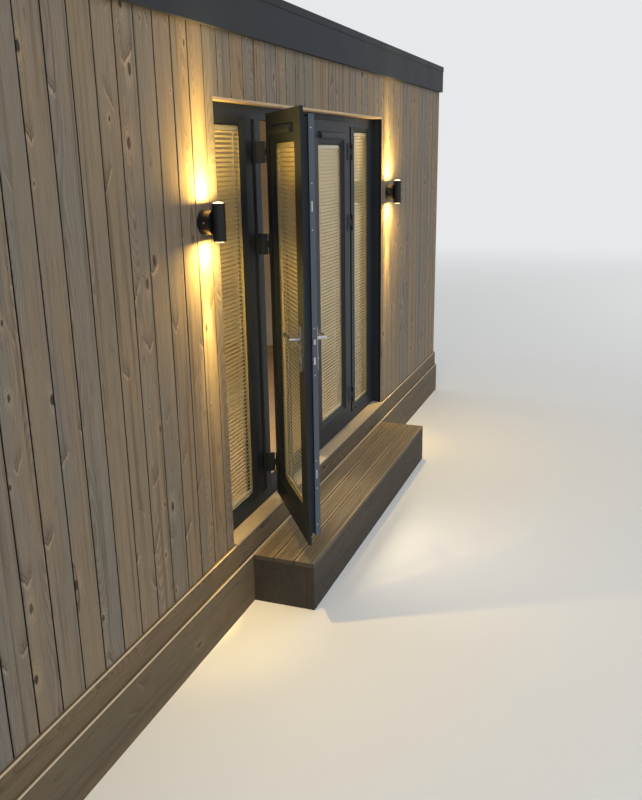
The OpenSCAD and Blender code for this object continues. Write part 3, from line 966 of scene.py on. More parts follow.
@dataclass(frozen=True)
class WarmLens:
    """A lamp's glowing lens, brighter in the middle.

    Attributes:
        name: The material's name.
        slot: The record's material slot; not used.
        body: Colour of the lens itself.
        glow: Colour of the light.
        ripple: The paler colour that it ripples to.
        strength: Strength of the light in the middle of the lens.
        rim: Strength of the light at its edge.
        across: Distance from the middle of the pod to a lens's middle.
        out: Where the middle of a lens lies from front to back.
        radius: Radius of a lens.
    """

    name: str = "warm_lens"
    slot: str = "lamp_lens"
    body: Colour = (0.9, 0.8, 0.6)
    glow: Colour = (1.0, 0.66, 0.28)
    ripple: Colour = (1.0, 0.74, 0.40)
    strength: float = 9.0
    rim: float = 0.7
    across: float = 1.455
    out: float = -1.828
    radius: float = 0.0257

    def material(self) -> bpy.types.Material:
        """Makes the lens's material.

        Returns:
            The material.
        """
        recipe = Recipe.named(self.name)
        place = recipe.spot()
        ripple = recipe.noise(place, 240.0)
        x, y, _ = recipe.parts(place)
        distance = recipe.length(recipe.join(abs(x) - self.across, y - self.out))
        half = 0.5 * self.radius
        return recipe.surface(
            Base_Color=self.body,
            Roughness=0.25,
            Emission_Color=recipe.mix(recipe.fade(ripple, 0.3, 0.7), self.glow, self.ripple),
            Emission_Strength=recipe.fade(distance, self.radius, half, self.rim, self.strength),
        )


# How each kind of mark changes the colour of the wood under it
STREAKED = (0.50, 0.48, 0.46)
BLEACHED = (1.25, 1.24, 1.22)
LATE_WOOD = (0.52, 0.44, 0.36)
FIBROUS = (0.62, 0.60, 0.58)
TORN = (0.40, 0.36, 0.34)
RAISED = (1.52, 1.48, 1.42)
BRANCH = (0.36, 0.33, 0.33)
SMUDGED = (0.50, 0.47, 0.45)
RESINOUS = (1.45, 1.38, 1.28)

# Colours that lie on a finish, with the painted shade in the grooves and the painted highlight on
# ledges among them
DEAD_KNOT = (0.012, 0.010, 0.009)
LIVE_KNOT = (0.075, 0.046, 0.028)
# Some dirt and painted shade in the grooves between boards
GROOVE_DIRT_AND_SHADE = (0.007, 0.006, 0.0055)
# Painted highlight on the upward edges of boards
PAINTED_LEDGE_HIGHLIGHT = (0.62, 0.52, 0.39)
DUST = (0.20, 0.18, 0.155)

# The finishes of this pod
CLADDING = Timber(
    name="weathered_cladding",
    slot="cladding_timber",
    fresh=(0.250, 0.190, 0.126),
    weathered=(0.186, 0.170, 0.146),
    knots=0.85,
    chevrons=0.9,
    streaks=0.75,
    groove_soil_and_shade=1.0,
)
PLINTH = Timber(
    name="plinth_timber",
    slot="plinth_timber",
    fresh=(0.165, 0.118, 0.066),
    weathered=(0.128, 0.104, 0.072),
    ledge_highlight=0.8,
    knots=0.6,
    chevrons=0.5,
)
LINING = Timber(
    name="lining_timber",
    slot="pale_timber",
    fresh=(0.560, 0.390, 0.215),
    weathered=(0.450, 0.350, 0.225),
    run=Run.ALONG_X,
    knots=0.15,
    streaks=0.2,
    ring_depth=0.3,
    roughness=0.6,
)
CILL = Timber(
    name="cill_timber",
    slot="cill",
    fresh=(0.520, 0.420, 0.290),
    weathered=(0.430, 0.360, 0.265),
    run=Run.ALONG_X,
    knots=0.0,
    streaks=0.15,
    ring_depth=0.18,
    roughness=0.5,
    relief=0.00008,
)
FLOOR = Timber(
    name="floor_planks",
    slot="floor_finish",
    fresh=(0.470, 0.315, 0.170),
    weathered=(0.400, 0.300, 0.190),
    knots=0.12,
    streaks=0.25,
    ring_depth=0.35,
    roughness=0.42,
    relief=0.00006,
    groove_soil_and_shade=0.8,
)
BEARER = Timber(
    name="treated_bearers",
    slot="bearer_timber",
    fresh=(0.215, 0.170, 0.085),
    weathered=(0.150, 0.150, 0.095),
    run=Run.ALONG_X,
    roughness=0.85,
)
DECK_FRAME = Timber(
    name="stained_deck_frame",
    slot="deck_timber",
    fresh=(0.050, 0.040, 0.030),
    weathered=(0.038, 0.034, 0.029),
    run=Run.ALONG_X,
    knots=0.1,
    ring_depth=0.3,
    roughness=0.7,
)
DECK = RibbedComposite()
FRAME_UPRIGHT = SatinFoil(name="frame_foil_upright")
FRAME_LEVEL = SatinFoil(name="frame_foil_level", run=Run.ALONG_X)
HINGE = PowderCoat(name="hinge_coat", slot="hinge_metal", colour=(0.022, 0.025, 0.028), dust=0.1)
FASCIA = PowderCoat(
    name="fascia_coat",
    slot="fascia",
    colour=(0.020, 0.023, 0.030),
    roughness=0.6,
    swell=0.001,
    shine=0.12,
)
TRIM = PowderCoat(
    name="roof_trim_coat",
    slot="roof_trim",
    colour=(0.016, 0.018, 0.022),
    roughness=0.55,
    shine=0.12,
)
LAMP = PowderCoat(
    name="lamp_coat", slot="lamp_metal", colour=(0.009, 0.009, 0.010), roughness=0.36, dust=0.15
)
PANEL = PowderCoat(
    name="painted_panel",
    slot="panel",
    colour=(0.740, 0.730, 0.700),
    roughness=0.72,
    peel=0.0002,
    clouds=0.03,
    dust=0.05,
)
MEMBRANE = RubberSheet()
GLASS = ClearGlass()
SLATS = Enamel()
RAIL = Enamel(name="rail_enamel", colour=(0.600, 0.500, 0.320), shade=(0.520, 0.420, 0.250))
STEEL = BrushedSteel()
LENS = WarmLens()
GASKET = PowderCoat(
    name="rubber_gasket", slot="frame", colour=(0.010, 0.010, 0.011), roughness=0.6, dust=0.1
)
CORD = PowderCoat(
    name="blind_cord", slot="blind", colour=(0.62, 0.54, 0.40), roughness=0.8, peel=0.0001, dust=0.0
)


# Mesh making

SMOOTH_UNDER = 35.0  # Degrees between faces that are shaded as one

# A domed screw head with its socket: radius and height of each ring, in radii
SCREW_HEAD = ((1.0, 0.0), (1.0, 0.15), (0.86, 0.36), (0.55, 0.46), (0.42, 0.46), (0.38, 0.14))
SCREW_STEPS = 12


def axes(across: Vector, depth: Vector, along: Vector, origin: Point = (0.0, 0.0, 0.0)) -> Matrix:
    """The matrix from a section's directions to the part's.

    Args:
        across: Where the section's first direction points.
        depth: Where its second direction points.
        along: Where its length points.
        origin: Where its zero lies.

    Returns:
        The matrix.
    """
    turned = Matrix((across, depth, along)).transposed().to_4x4()
    return Matrix.Translation(origin) @ turned


def rectangle(left: float, low: float, right: float, high: float, arris: float = 0.0) -> Outline:
    """A rectangle's outline, with its corners cut off by arris."""
    if not arris:
        return [(left, low), (right, low), (right, high), (left, high)]
    return [
        (left + arris, low),
        (right - arris, low),
        (right, low + arris),
        (right, high - arris),
        (right - arris, high),
        (left + arris, high),
        (left, high - arris),
        (left, low + arris),
    ]


def ring(radius: float, steps: int) -> Outline:
    """A circle's outline with that many steps."""
    turns = [math.tau * i / steps for i in range(steps)]
    return [(radius * math.cos(turn), radius * math.sin(turn)) for turn in turns]


# Where in a log a board may lie: across it in widths of the board, behind its face and along it
ASIDE, BEHIND, ALONG = (-0.5, 1.5), (0.005, 0.09), (0.0, 400.0)
TONES = (0.2, 0.8)
KNOTTINESS = (0.1, 0.3, 0.5, 0.8, 1.0)


@dataclass(frozen=True)
class Log:
    """Where in a tree one board was cut, so that no two boards look alike.

    Attributes:
        heart: Place of the tree's heart, across and into the board.
        start: Where along the tree the board begins.
        tone: How brown the board is, from 0 to 1.
        knotty: How many of the possible knots it has, from 0 to 1.
    """

    heart: tuple[float, float] = (0.0, 0.0)
    start: float = 0.0
    tone: float = 0.5
    knotty: float = 0.3

    @classmethod
    def pick(cls, chance: random.Random, width: float) -> "Log":
        """Picks a log for a board of some width.

        Args:
            chance: The numbers to pick with.
            width: Width of the board.

        Returns:
            The log.
        """
        heart = (chance.uniform(*ASIDE) * width, chance.uniform(*BEHIND))
        knotty = chance.choice(KNOTTINESS)
        return cls(heart, chance.uniform(*ALONG), chance.uniform(*TONES), knotty)


@dataclass
class Draft:
    """Corners and faces gathered for one piece, with the grain's values at each corner.

    Attributes:
        corners: The corners, in the part's frame.
        faces: The corners of each face, by their numbers.
        grain: Where each corner lies in its log: across, into and along it.
        board: The board's tone, the corner's depth behind its face, and how knotty
            the board is.
    """

    corners: list[Vector] = field(default_factory=list)
    faces: list[tuple[int, ...]] = field(default_factory=list)
    grain: list[Point] = field(default_factory=list)
    board: list[Point] = field(default_factory=list)

    def _corner(self, place: Matrix, local: Point, cut: Log) -> None:
        """Adds one corner.

        Args:
            place: The matrix from the section's directions.
            local: The corner across, into and along the section.
            cut: The log that the board was cut from.
        """
        across, depth, along = local
        self.corners.append(place @ Vector(local))
        self.grain.append((across - cut.heart[0], depth + cut.heart[1], along + cut.start))
        self.board.append((cut.tone, depth, cut.knotty))

    def prism(
        self,
        outline: Outline,
        place: Matrix,
        start: float,
        end: float,
        cut: Log = Log(),
        mitre: tuple[float, float] = (0.0, 0.0),
    ) -> None:
        """Adds a straight length of one section.

        Args:
            outline: The section.
            place: The matrix from the section's directions.
            start: Where along it begins.
            end: Where along it ends.
            cut: The log that it was cut from.
            mitre: How far the start and the end move along for each metre across.
        """
        first, count = len(self.corners), len(outline)
        for along, slope in ((start, mitre[0]), (end, mitre[1])):
            for across, depth in outline:
                self._corner(place, (across, depth, along + slope * across), cut)
        self.faces.append(tuple(range(first + count - 1, first - 1, -1)))
        self.faces.append(tuple(range(first + count, first + 2 * count)))
        for i in range(count):
            j = (i + 1) % count
            self.faces.append((first + i, first + j, first + count + j, first + count + i))

    def turned(self, profile: Outline, place: Matrix, steps: int) -> None:
        """Adds a profile turned round the along axis, closed at both of its ends.

        Args:
            profile: Radius and height of each ring, from one end to the other.
            place: The matrix from the section's directions.
            steps: Number of steps round the axis.
        """
        first = len(self.corners)
        for radius, height in profile:
            for across, depth in ring(radius, steps):
                self._corner(place, (across, depth, height), Log())
        for level in range(len(profile) - 1):
            low = first + level * steps
            for i in range(steps):
                j = (i + 1) % steps
                self.faces.append((low + i, low + j, low + steps + j, low + steps + i))
        self.faces.append(tuple(range(first + steps - 1, first - 1, -1)))
        last = first + (len(profile) - 1) * steps
        self.faces.append(tuple(range(last, last + steps)))

    def screw(self, place: Matrix, radius: float) -> None:
        """Adds a screw head, which faces along the place's third axis.

        Args:
            place: The matrix from the head's seat.
            radius: Radius of the head.
        """
        self.turned([(out * radius, up * radius) for out, up in SCREW_HEAD], place, SCREW_STEPS)

    def make(
        self,
        name: str,
        finish: Finish,
        *nodes: str,
        body: Body = Body.POD,
        smooth: bool = False,
    ) -> bpy.types.Object:
        """Turns the gathered corners and faces into a piece of the part.

        Args:
            name: The piece's name.
            finish: What it is finished in.
            *nodes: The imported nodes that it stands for.
            body: The body that it rides on.
            smooth: Whether its gentle edges are shaded smooth.

        Returns:
            The piece.
        """
        mesh = bpy.data.meshes.new(name)
        mesh.from_pydata(self.corners, [], self.faces)
        for key, values in (("grain", self.grain), ("board", self.board)):
            attribute = mesh.attributes.new(key, "FLOAT_VECTOR", "POINT")
            attribute.data.foreach_set("vector", [part for value in values for part in value])
        shell = bmesh.new()
        shell.from_mesh(mesh)
        bmesh.ops.recalc_face_normals(shell, faces=shell.faces)
        shell.to_mesh(mesh)
        shell.free()
        if smooth:
            mesh.shade_smooth()
            mesh.set_sharp_from_angle(angle=math.radians(SMOOTH_UNDER))
        mesh.materials.append(dressed(finish))
        piece = bpy.data.objects.new(name, mesh)
        bpy.context.scene.collection.objects.link(piece)
        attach(piece, body.value)
        if nodes:
            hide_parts(*nodes)
        return piece


def coat(finishes: dict[str, Finish]) -> Pieces:
    """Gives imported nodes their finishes.

    Args:
        finishes: The finish of each node, by the node's name.

    Yields:
        Each node's object.
    """
    for node, finish in finishes.items():
        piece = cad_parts[node]
        for slot in piece.material_slots:
            slot.material = dressed(finish)
        yield piece


# Sub-assemblies


class Assembly(Protocol):
    """What every sub-assembly offers."""

    def build(self) -> Pieces:
        """Builds and dresses its pieces, one after another."""


@dataclass
class Cladding:
    """Vertical boards with a narrow shadow gap on all four walls.

    Attributes:
        pitch: Distance from one board's joint to the next.
        gap: Width of the shadow gap.
        tongue: Depth from the face to the tongue that bridges the gap.
        thickness: Thickness of a board.
        arris: Size of the rounding on a board's edges.
        uneven: How far a board's face may lie behind the wall's.
        narrowest: Narrowest strip of board that is laid.
        first_joint: Place of one joint on the front and the back, from the middle.
        half_opening: Half of the door set's width.
        slab_gap: Joint between the boards over the opening and those beside it.
        seed: Start of the numbers that vary the boards.
    """

    pitch: float = 0.130
    gap: float = 0.007
    tongue: float = 0.012
    thickness: float = 0.020
    arris: float = 0.0018
    uneven: float = 0.0007
    narrowest: float = 0.012
    first_joint: float = 0.052
    half_opening: float = 1.304
    slab_gap: float = 0.001
    seed: int = 11

    def __post_init__(self) -> None:
        """Starts the numbers that vary the boards."""
        self.chance = random.Random(self.seed)

    def outline(self, width: float, joint_left: bool, joint_right: bool, back: float) -> Outline:
        """A board's section.

        Args:
            width: Width from joint to joint, or to a cut edge.
            joint_left: Whether its left edge makes a shadow gap.
            joint_right: Whether its right edge does.
            back: How far its face lies behind the wall's face.

        Returns:
            The outline, across and into the wall.
        """
        left = self.gap / 2 if joint_left else 0.0
        right = width - (self.gap / 2 if joint_right else 0.0)
        points = [(0.0, self.thickness)]
        if joint_left:
            points += [(0.0, self.tongue), (left, self.tongue)]
        points += [(left, back + self.arris), (left + self.arris, back)]
        points += [(right - self.arris, back), (right, back + self.arris)]
        if joint_right:
            points += [(right, self.tongue), (width, self.tongue)]
        return [*points, (width, self.thickness)]

    def wall(
        self, draft: Draft, place: Matrix, span: tuple[float, float], rise: tuple[float, float]
    ) -> None:
        """Boards one stretch of a wall.

        Args:
            draft: What the boards are added to.
            place: The matrix from across the wall, into it and up it.
            span: Where the stretch begins and ends across the wall.
            rise: Where the boards begin and end up the wall.
        """
        steps = math.floor((span[0] - self.first_joint) / self.pitch)
        joint = self.first_joint + self.pitch * steps
        while joint < span[1]:
            left, right = max(joint, span[0]), min(joint + self.pitch, span[1])
            joint += self.pitch
            width = right - left
            if width < self.narrowest:
                continue
            ends = (left > span[0], right < span[1])
            outline = self.outline(width, *ends, self.chance.uniform(0.0, self.uneven))
            shifted = place @ Matrix.Translation((left, 0.0, 0.0))
            draft.prism(outline, shifted, *rise, Log.pick(self.chance, width))

    def face(self, node: str, across: Vector, depth: Vector) -> Matrix:
        """The matrix of a wall's outer face.

        Args:
            node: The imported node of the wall's boards.
            across: Where across the wall points.
            depth: Where into the wall points.

        Returns:
            The matrix from across the wall, into it and up it.
        """
        level = min(corner.dot(depth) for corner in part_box(node))
        return axes(across, depth, Z_AXIS, level * depth)

    def build(self) -> Pieces:
        """Boards the front round the opening, then the other walls.

        Yields:
            Each wall's boards.
        """
        low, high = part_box("front_cladding")
        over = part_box("head_lining")[1].z
        half, inner = self.half_opening, self.half_opening - self.slab_gap
        draft, place = Draft(), self.face("front_cladding", X_AXIS, Y_AXIS)
        self.wall(draft, place, (low.x, -half), (low.z, high.z))
        self.wall(draft, place, (-inner, inner), (over, high.z))
        self.wall(draft, place, (half, high.x), (low.z, high.z))
        yield draft.make("front_boards", CLADDING, "front_cladding")
        for side, across, depth in (
            ("back", X_AXIS, -Y_AXIS),
            ("left", Y_AXIS, X_AXIS),
            ("right", Y_AXIS, -X_AXIS),
        ):
            node = side + "_cladding"
            low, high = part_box(node)
            draft, place = Draft(), self.face(node, across, depth)
            self.wall(draft, place, (low.dot(across), high.dot(across)), (low.z, high.z))
            yield draft.make(side + "_boards", CLADDING, node)


@dataclass
class Plinth:
    """Two horizontal boards round the foot of the body, with sloped top edges.

    Attributes:
        lower_h: Height of the lower board.
        lower_t: Thickness of the lower board.
        lower_l: Length of the lower boards on the front and the back.
        upper_h: Height of the upper board.
        upper_t: Thickness of the upper board.
        upper_l: Length of the upper boards on the front and the back.
        gap: Gap between the two boards.
        weathering: Fall of the sloped top edge.
        joint: Gap at a butt joint.
        lower_joint: Place of the lower board's butt joint.
        upper_joint: Place of the upper board's butt joint.
        back: Distance from the middle to the boards' backs on the front wall.
        side_back: The same on a side wall.
        seed: Start of the numbers that vary the boards.
    """

    lower_h: float = 0.263
    lower_t: float = 0.045
    lower_l: float = 6.370
    upper_h: float = 0.120
    upper_t: float = 0.032
    upper_l: float = 6.344
    gap: float = 0.003
    weathering: float = 0.005
    joint: float = 0.002
    lower_joint: float = 0.610
    upper_joint: float = -0.480
    back: float = 1.730
    side_back: float = 3.140
    seed: int = 23

    def __post_init__(self) -> None:
        """Starts the numbers that vary the boards."""
        self.chance = random.Random(self.seed)

    def outline(self, height: float, thickness: float) -> Outline:
        """A plinth board's section: up, then from its face inward.

        Args:
            height: Height of the board.
            thickness: Thickness of the board.

        Returns:
            The outline.
        """
        slope = self.weathering
        face = [(0.0, 0.0), (height - slope, 0.0), (height, slope)]
        return [*face, (height, thickness), (0.0, thickness)]

    def run(self, draft: Draft, place: Matrix, half: tuple[float, float], joined: bool) -> None:
        """Adds the two boards of one side.

        Args:
            draft: What the boards are added to.
            place: The matrix from up, inward from the boards' backs, and along the wall.
            half: Half of the lower and the upper board's length.
            joined: Whether the boards have butt joints.
        """
        boards = (
            (0.0, self.lower_h, self.lower_t, half[0], self.lower_joint),
            (self.lower_h + self.gap, self.upper_h, self.upper_t, half[1], self.upper_joint),
        )
        for level, height, thickness, reach, joint in boards:
            shifted = place @ Matrix.Translation((level, -thickness, 0.0))
            ends = [(-reach, joint - self.joint / 2), (joint + self.joint / 2, reach)]
            for start, end in ends if joined else [(-reach, reach)]:
                cut = Log.pick(self.chance, height)
                draft.prism(self.outline(height, thickness), shifted, start, end, cut)

    def build(self) -> Pieces:
        """Builds the plinth of each side.

        Yields:
            The front, back and side boards.
        """
        long = (self.lower_l / 2, self.upper_l / 2)
        for side, depth in (("front", Y_AXIS), ("back", -Y_AXIS)):
            draft = Draft()
            self.run(draft, axes(Z_AXIS, depth, X_AXIS, -self.back * depth), long, True)
            yield draft.make(side + "_plinth_boards", PLINTH, side + "_plinth")
        draft = Draft()
        for depth in (X_AXIS, -X_AXIS):
            place = axes(Z_AXIS, depth, Y_AXIS, -self.side_back * depth)
            self.run(draft, place, (self.back, self.back), False)
        yield draft.make("side_plinth_boards", PLINTH, "side_plinths")


@dataclass
class Room:
    """The painted shell and the floor planks inside.

    Attributes:
        plank_w: Width of a plank.
        plank_l: Length of a plank.
        arris: Size of the bevel round a plank.
        narrowest: Narrowest row of planks that is laid.
        stagger: Least and greatest share of a plank that a row's first one loses.
        seed: Start of the numbers that vary the planks.
    """

    plank_w: float = 0.190
    plank_l: float = 1.830
    arris: float = 0.001
    narrowest: float = 0.01
    stagger: tuple[float, float] = (0.2, 0.8)
    seed: int = 5

    def planks(self, draft: Draft) -> None:
        """Lays the planks.

        Args:
            draft: What they are added to.
        """
        chance = random.Random(self.seed)
        low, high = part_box("floor_boards")
        thickness, arris = high.z - low.z, self.arris
        row = low.y
        while row < high.y - self.narrowest:
            width = min(self.plank_w, high.y - row)
            start = low.x - chance.uniform(*self.stagger) * self.plank_l
            place = axes(Y_AXIS, -Z_AXIS, X_AXIS, (0.0, row, high.z))
            near = [(0.0, thickness), (0.0, arris), (arris, 0.0)]
            far = [(width - arris, 0.0), (width, arris), (width, thickness)]
            while start < high.x:
                ends = (max(start, low.x), min(start + self.plank_l, high.x))
                if ends[1] > ends[0]:
                    draft.prism(near + far, place, *ends, Log.pick(chance, width))
                start += self.plank_l
            row += width

    def build(self) -> Pieces:
        """Lays the planks and paints the shell.

        Yields:
            The planks, then each node of the shell.
        """
        draft = Draft()
        self.planks(draft)
        yield draft.make("floor_planks", FLOOR, "floor_boards")
        walls = ("front_wall_left", "front_wall_right", "front_wall_head")
        walls += ("left_wall", "right_wall", "back_wall")
        yield from coat(dict.fromkeys((*walls, "roof_panel", "floor_panel"), PANEL))
        yield from coat({"ground_bearers": BEARER})


@dataclass
class Roof:
    """The membrane, the metal edge trim and the fascia boards."""

    def build(self) -> Pieces:
        """Dresses the roof's nodes, one after another."""
        yield from coat({"roof_membrane": MEMBRANE, "roof_edge_trim": TRIM})
        yield from coat(dict.fromkeys(("front_fascia", "back_fascia", "side_fascias"), FASCIA))


@dataclass
class SealedUnit:
    """What a sealed unit holds between its panes, and the gaskets on them.

    Attributes:
        name: Start of its pieces' names.
        body: The body that it rides on.
        place: The matrix from the unit's near lower left corner.
        width: Width of the unit.
        height: Height of the unit.
        depth: Thickness of the unit.
        pane: Thickness of a pane.
        bead: How far the frame's beads lap over the unit.
        side: Distance from the unit's side to the blind.
        head: Height of the blind's head rail.
        head_arris: Size of the bevel round the head rail.
        foot: Height of the blind's bottom rail.
        foot_arris: Size of the bevel round the bottom rail.
        drop: Distance from the unit's bottom to the blind.
        rail: Depth of the rails from front to back.
        pitch: Distance from one slat to the next.
        chord: Width of a slat.
        tilt: Slope of the slats in degrees, with the outer edge up.
        camber: How far a slat bows up.
        sheet: Thickness of a slat.
        head_gap: Gap between the head rail and the first slat.
        end_gap: Distance by which the slats are shorter than the rails at each end.
        cord_in: Distance from the blind's side to its ladder cords.
        cord_r: Radius of a cord.
        spacer: Distances from the unit's edge to the near and far side of the spacer.
        clear: Gap that keeps spacer and gasket off the glass.
        gasket_w: Width of a gasket on its outer side.
        gasket_h: How far a gasket stands out from the glass.
        gasket_lip: How far a gasket tucks under the bead, and how much wider its inner
            side is.
    """

    name: str
    body: Body
    place: Matrix
    width: float
    height: float
    depth: float = 0.028
    pane: float = 0.004
    bead: float = 0.030
    side: float = 0.022
    head: float = 0.055
    head_arris: float = 0.0015
    foot: float = 0.014
    foot_arris: float = 0.0025
    drop: float = 0.034
    rail: float = 0.016
    pitch: float = 0.021
    chord: float = 0.024
    tilt: float = 57.0
    camber: float = 0.0016
    sheet: float = 0.0004
    head_gap: float = 0.003
    end_gap: float = 0.001
    cord_in: float = 0.062
    cord_r: float = 0.0013
    spacer: tuple[float, float] = (0.005, 0.017)
    clear: float = 0.0002
    gasket_w: float = 0.003
    gasket_h: float = 0.0025
    gasket_lip: float = 0.001

    @property
    def rise(self) -> tuple[float, float]:
        """The top of the bottom rail and the underside of the head rail."""
        return self.drop + self.foot, self.height - self.head

    def slat_outline(self) -> Outline:
        """A slat's section: across it from its outer edge, and out of it."""
        steps = [i / 4 - 0.5 for i in range(5)]
        bow = [(t * self.chord, self.camber * (1.0 - 4.0 * t * t)) for t in steps]
        upper = [(across, out + self.sheet / 2) for across, out in bow]
        return upper + [(across, out - self.sheet / 2) for across, out in reversed(bow)]

    def slats(self, draft: Draft) -> None:
        """Adds the slats.

        Args:
            draft: What they are added to.
        """
        bottom, top = self.rise
        slope = math.radians(self.tilt)
        chord = math.cos(slope) * Y_AXIS - math.sin(slope) * Z_AXIS
        out = math.sin(slope) * Y_AXIS + math.cos(slope) * Z_AXIS
        half = self.chord / 2 * math.sin(slope)
        reach = self.width / 2 - self.side - self.end_gap
        level = top - half - self.head_gap
        while level > bottom + half:
            slat = self.place @ axes(chord, out, X_AXIS, (self.width / 2, self.depth / 2, level))
            draft.prism(self.slat_outline(), slat, -reach, reach)
            level -= self.pitch

    def rails(self, draft: Draft) -> None:
        """Adds the head rail and the bottom rail.

        Args:
            draft: What they are added to.
        """
        bottom, top = self.rise
        ends = (self.side, self.width - self.side)
        across = self.place @ axes(Y_AXIS, Z_AXIS, X_AXIS)
        front, back = (self.depth - self.rail) / 2, (self.depth + self.rail) / 2
        draft.prism(rectangle(front, top, back, self.height, self.head_arris), across, *ends)
        draft.prism(rectangle(front, self.drop, back, bottom, self.foot_arris), across, *ends)

    def cords(self, draft: Draft) -> None:
        """Adds the ladder cords in front of and behind the slats, and the lift cord.

        Args:
            draft: What they are added to.
        """
        reach = self.chord / 2 * math.cos(math.radians(self.tilt)) + self.cord_r
        for at in (self.side + self.cord_in, self.width - self.side - self.cord_in):
            for off in (-reach, 0.0, reach):
                place = self.place @ Matrix.Translation((at, self.depth / 2 + off, 0.0))
                draft.prism(ring(self.cord_r, 6), place, *self.rise)

    def border(self, draft: Draft, outline: Outline, top: bool = True) -> None:
        """Adds mitred lengths of a section round the unit.

        Args:
            draft: What they are added to.
            outline: The section: from the unit's edge towards its middle, and inward.
            top: Whether one runs along the top.
        """
        left = self.place @ axes(X_AXIS, Y_AXIS, Z_AXIS)
        right = self.place @ axes(-X_AXIS, Y_AXIS, Z_AXIS, (self.width, 0.0, 0.0))
        foot = self.place @ axes(Z_AXIS, Y_AXIS, X_AXIS)
        head = self.place @ axes(-Z_AXIS, Y_AXIS, X_AXIS, (0.0, 0.0, self.height))
        for side in (left, right):
            draft.prism(outline, side, 0.0, self.height, mitre=(1.0, -1.0 if top else 0.0))
        for side in (foot, head) if top else (foot,):
            draft.prism(outline, side, 0.0, self.width, mitre=(1.0, -1.0))

    def spacers(self, draft: Draft) -> None:
        """Adds the spacer between the panes, on all sides but the top.

        Args:
            draft: What it is added to.
        """
        edge, inner = self.spacer
        front = self.pane + self.clear
        self.border(draft, rectangle(edge, front, inner, self.depth - front), False)

    def gaskets(self, draft: Draft) -> None:
        """Adds the gaskets between the beads and the two panes.

        Args:
            draft: What they are added to.
        """
        near = self.bead - self.gasket_lip
        middle = near + self.gasket_w
        far = middle + self.gasket_lip
        for low, high in (
            (-self.gasket_h, -self.clear),
            (self.depth + self.clear, self.depth + self.gasket_h),
        ):
            self.border(draft, [(near, low), (middle, low), (far, high), (near, high)])

    def build(self, node: str) -> Pieces:
        """Builds the unit's blind, cords, spacer and gaskets.

        Args:
            node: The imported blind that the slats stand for.

        Yields:
            Each piece.
        """
        for suffix, fill, finish, smooth, nodes in (
            ("_slats", self.slats, SLATS, True, (node,)),
            ("_rails", self.rails, RAIL, True, ()),
            ("_ladder_cords", self.cords, CORD, True, ()),
            ("_spacer", self.spacers, SLATS, False, ()),
            ("_gasket", self.gaskets, GASKET, False, ()),
        ):
            draft = Draft()
            fill(draft)
            yield draft.make(self.name + suffix, finish, *nodes, body=self.body, smooth=smooth)


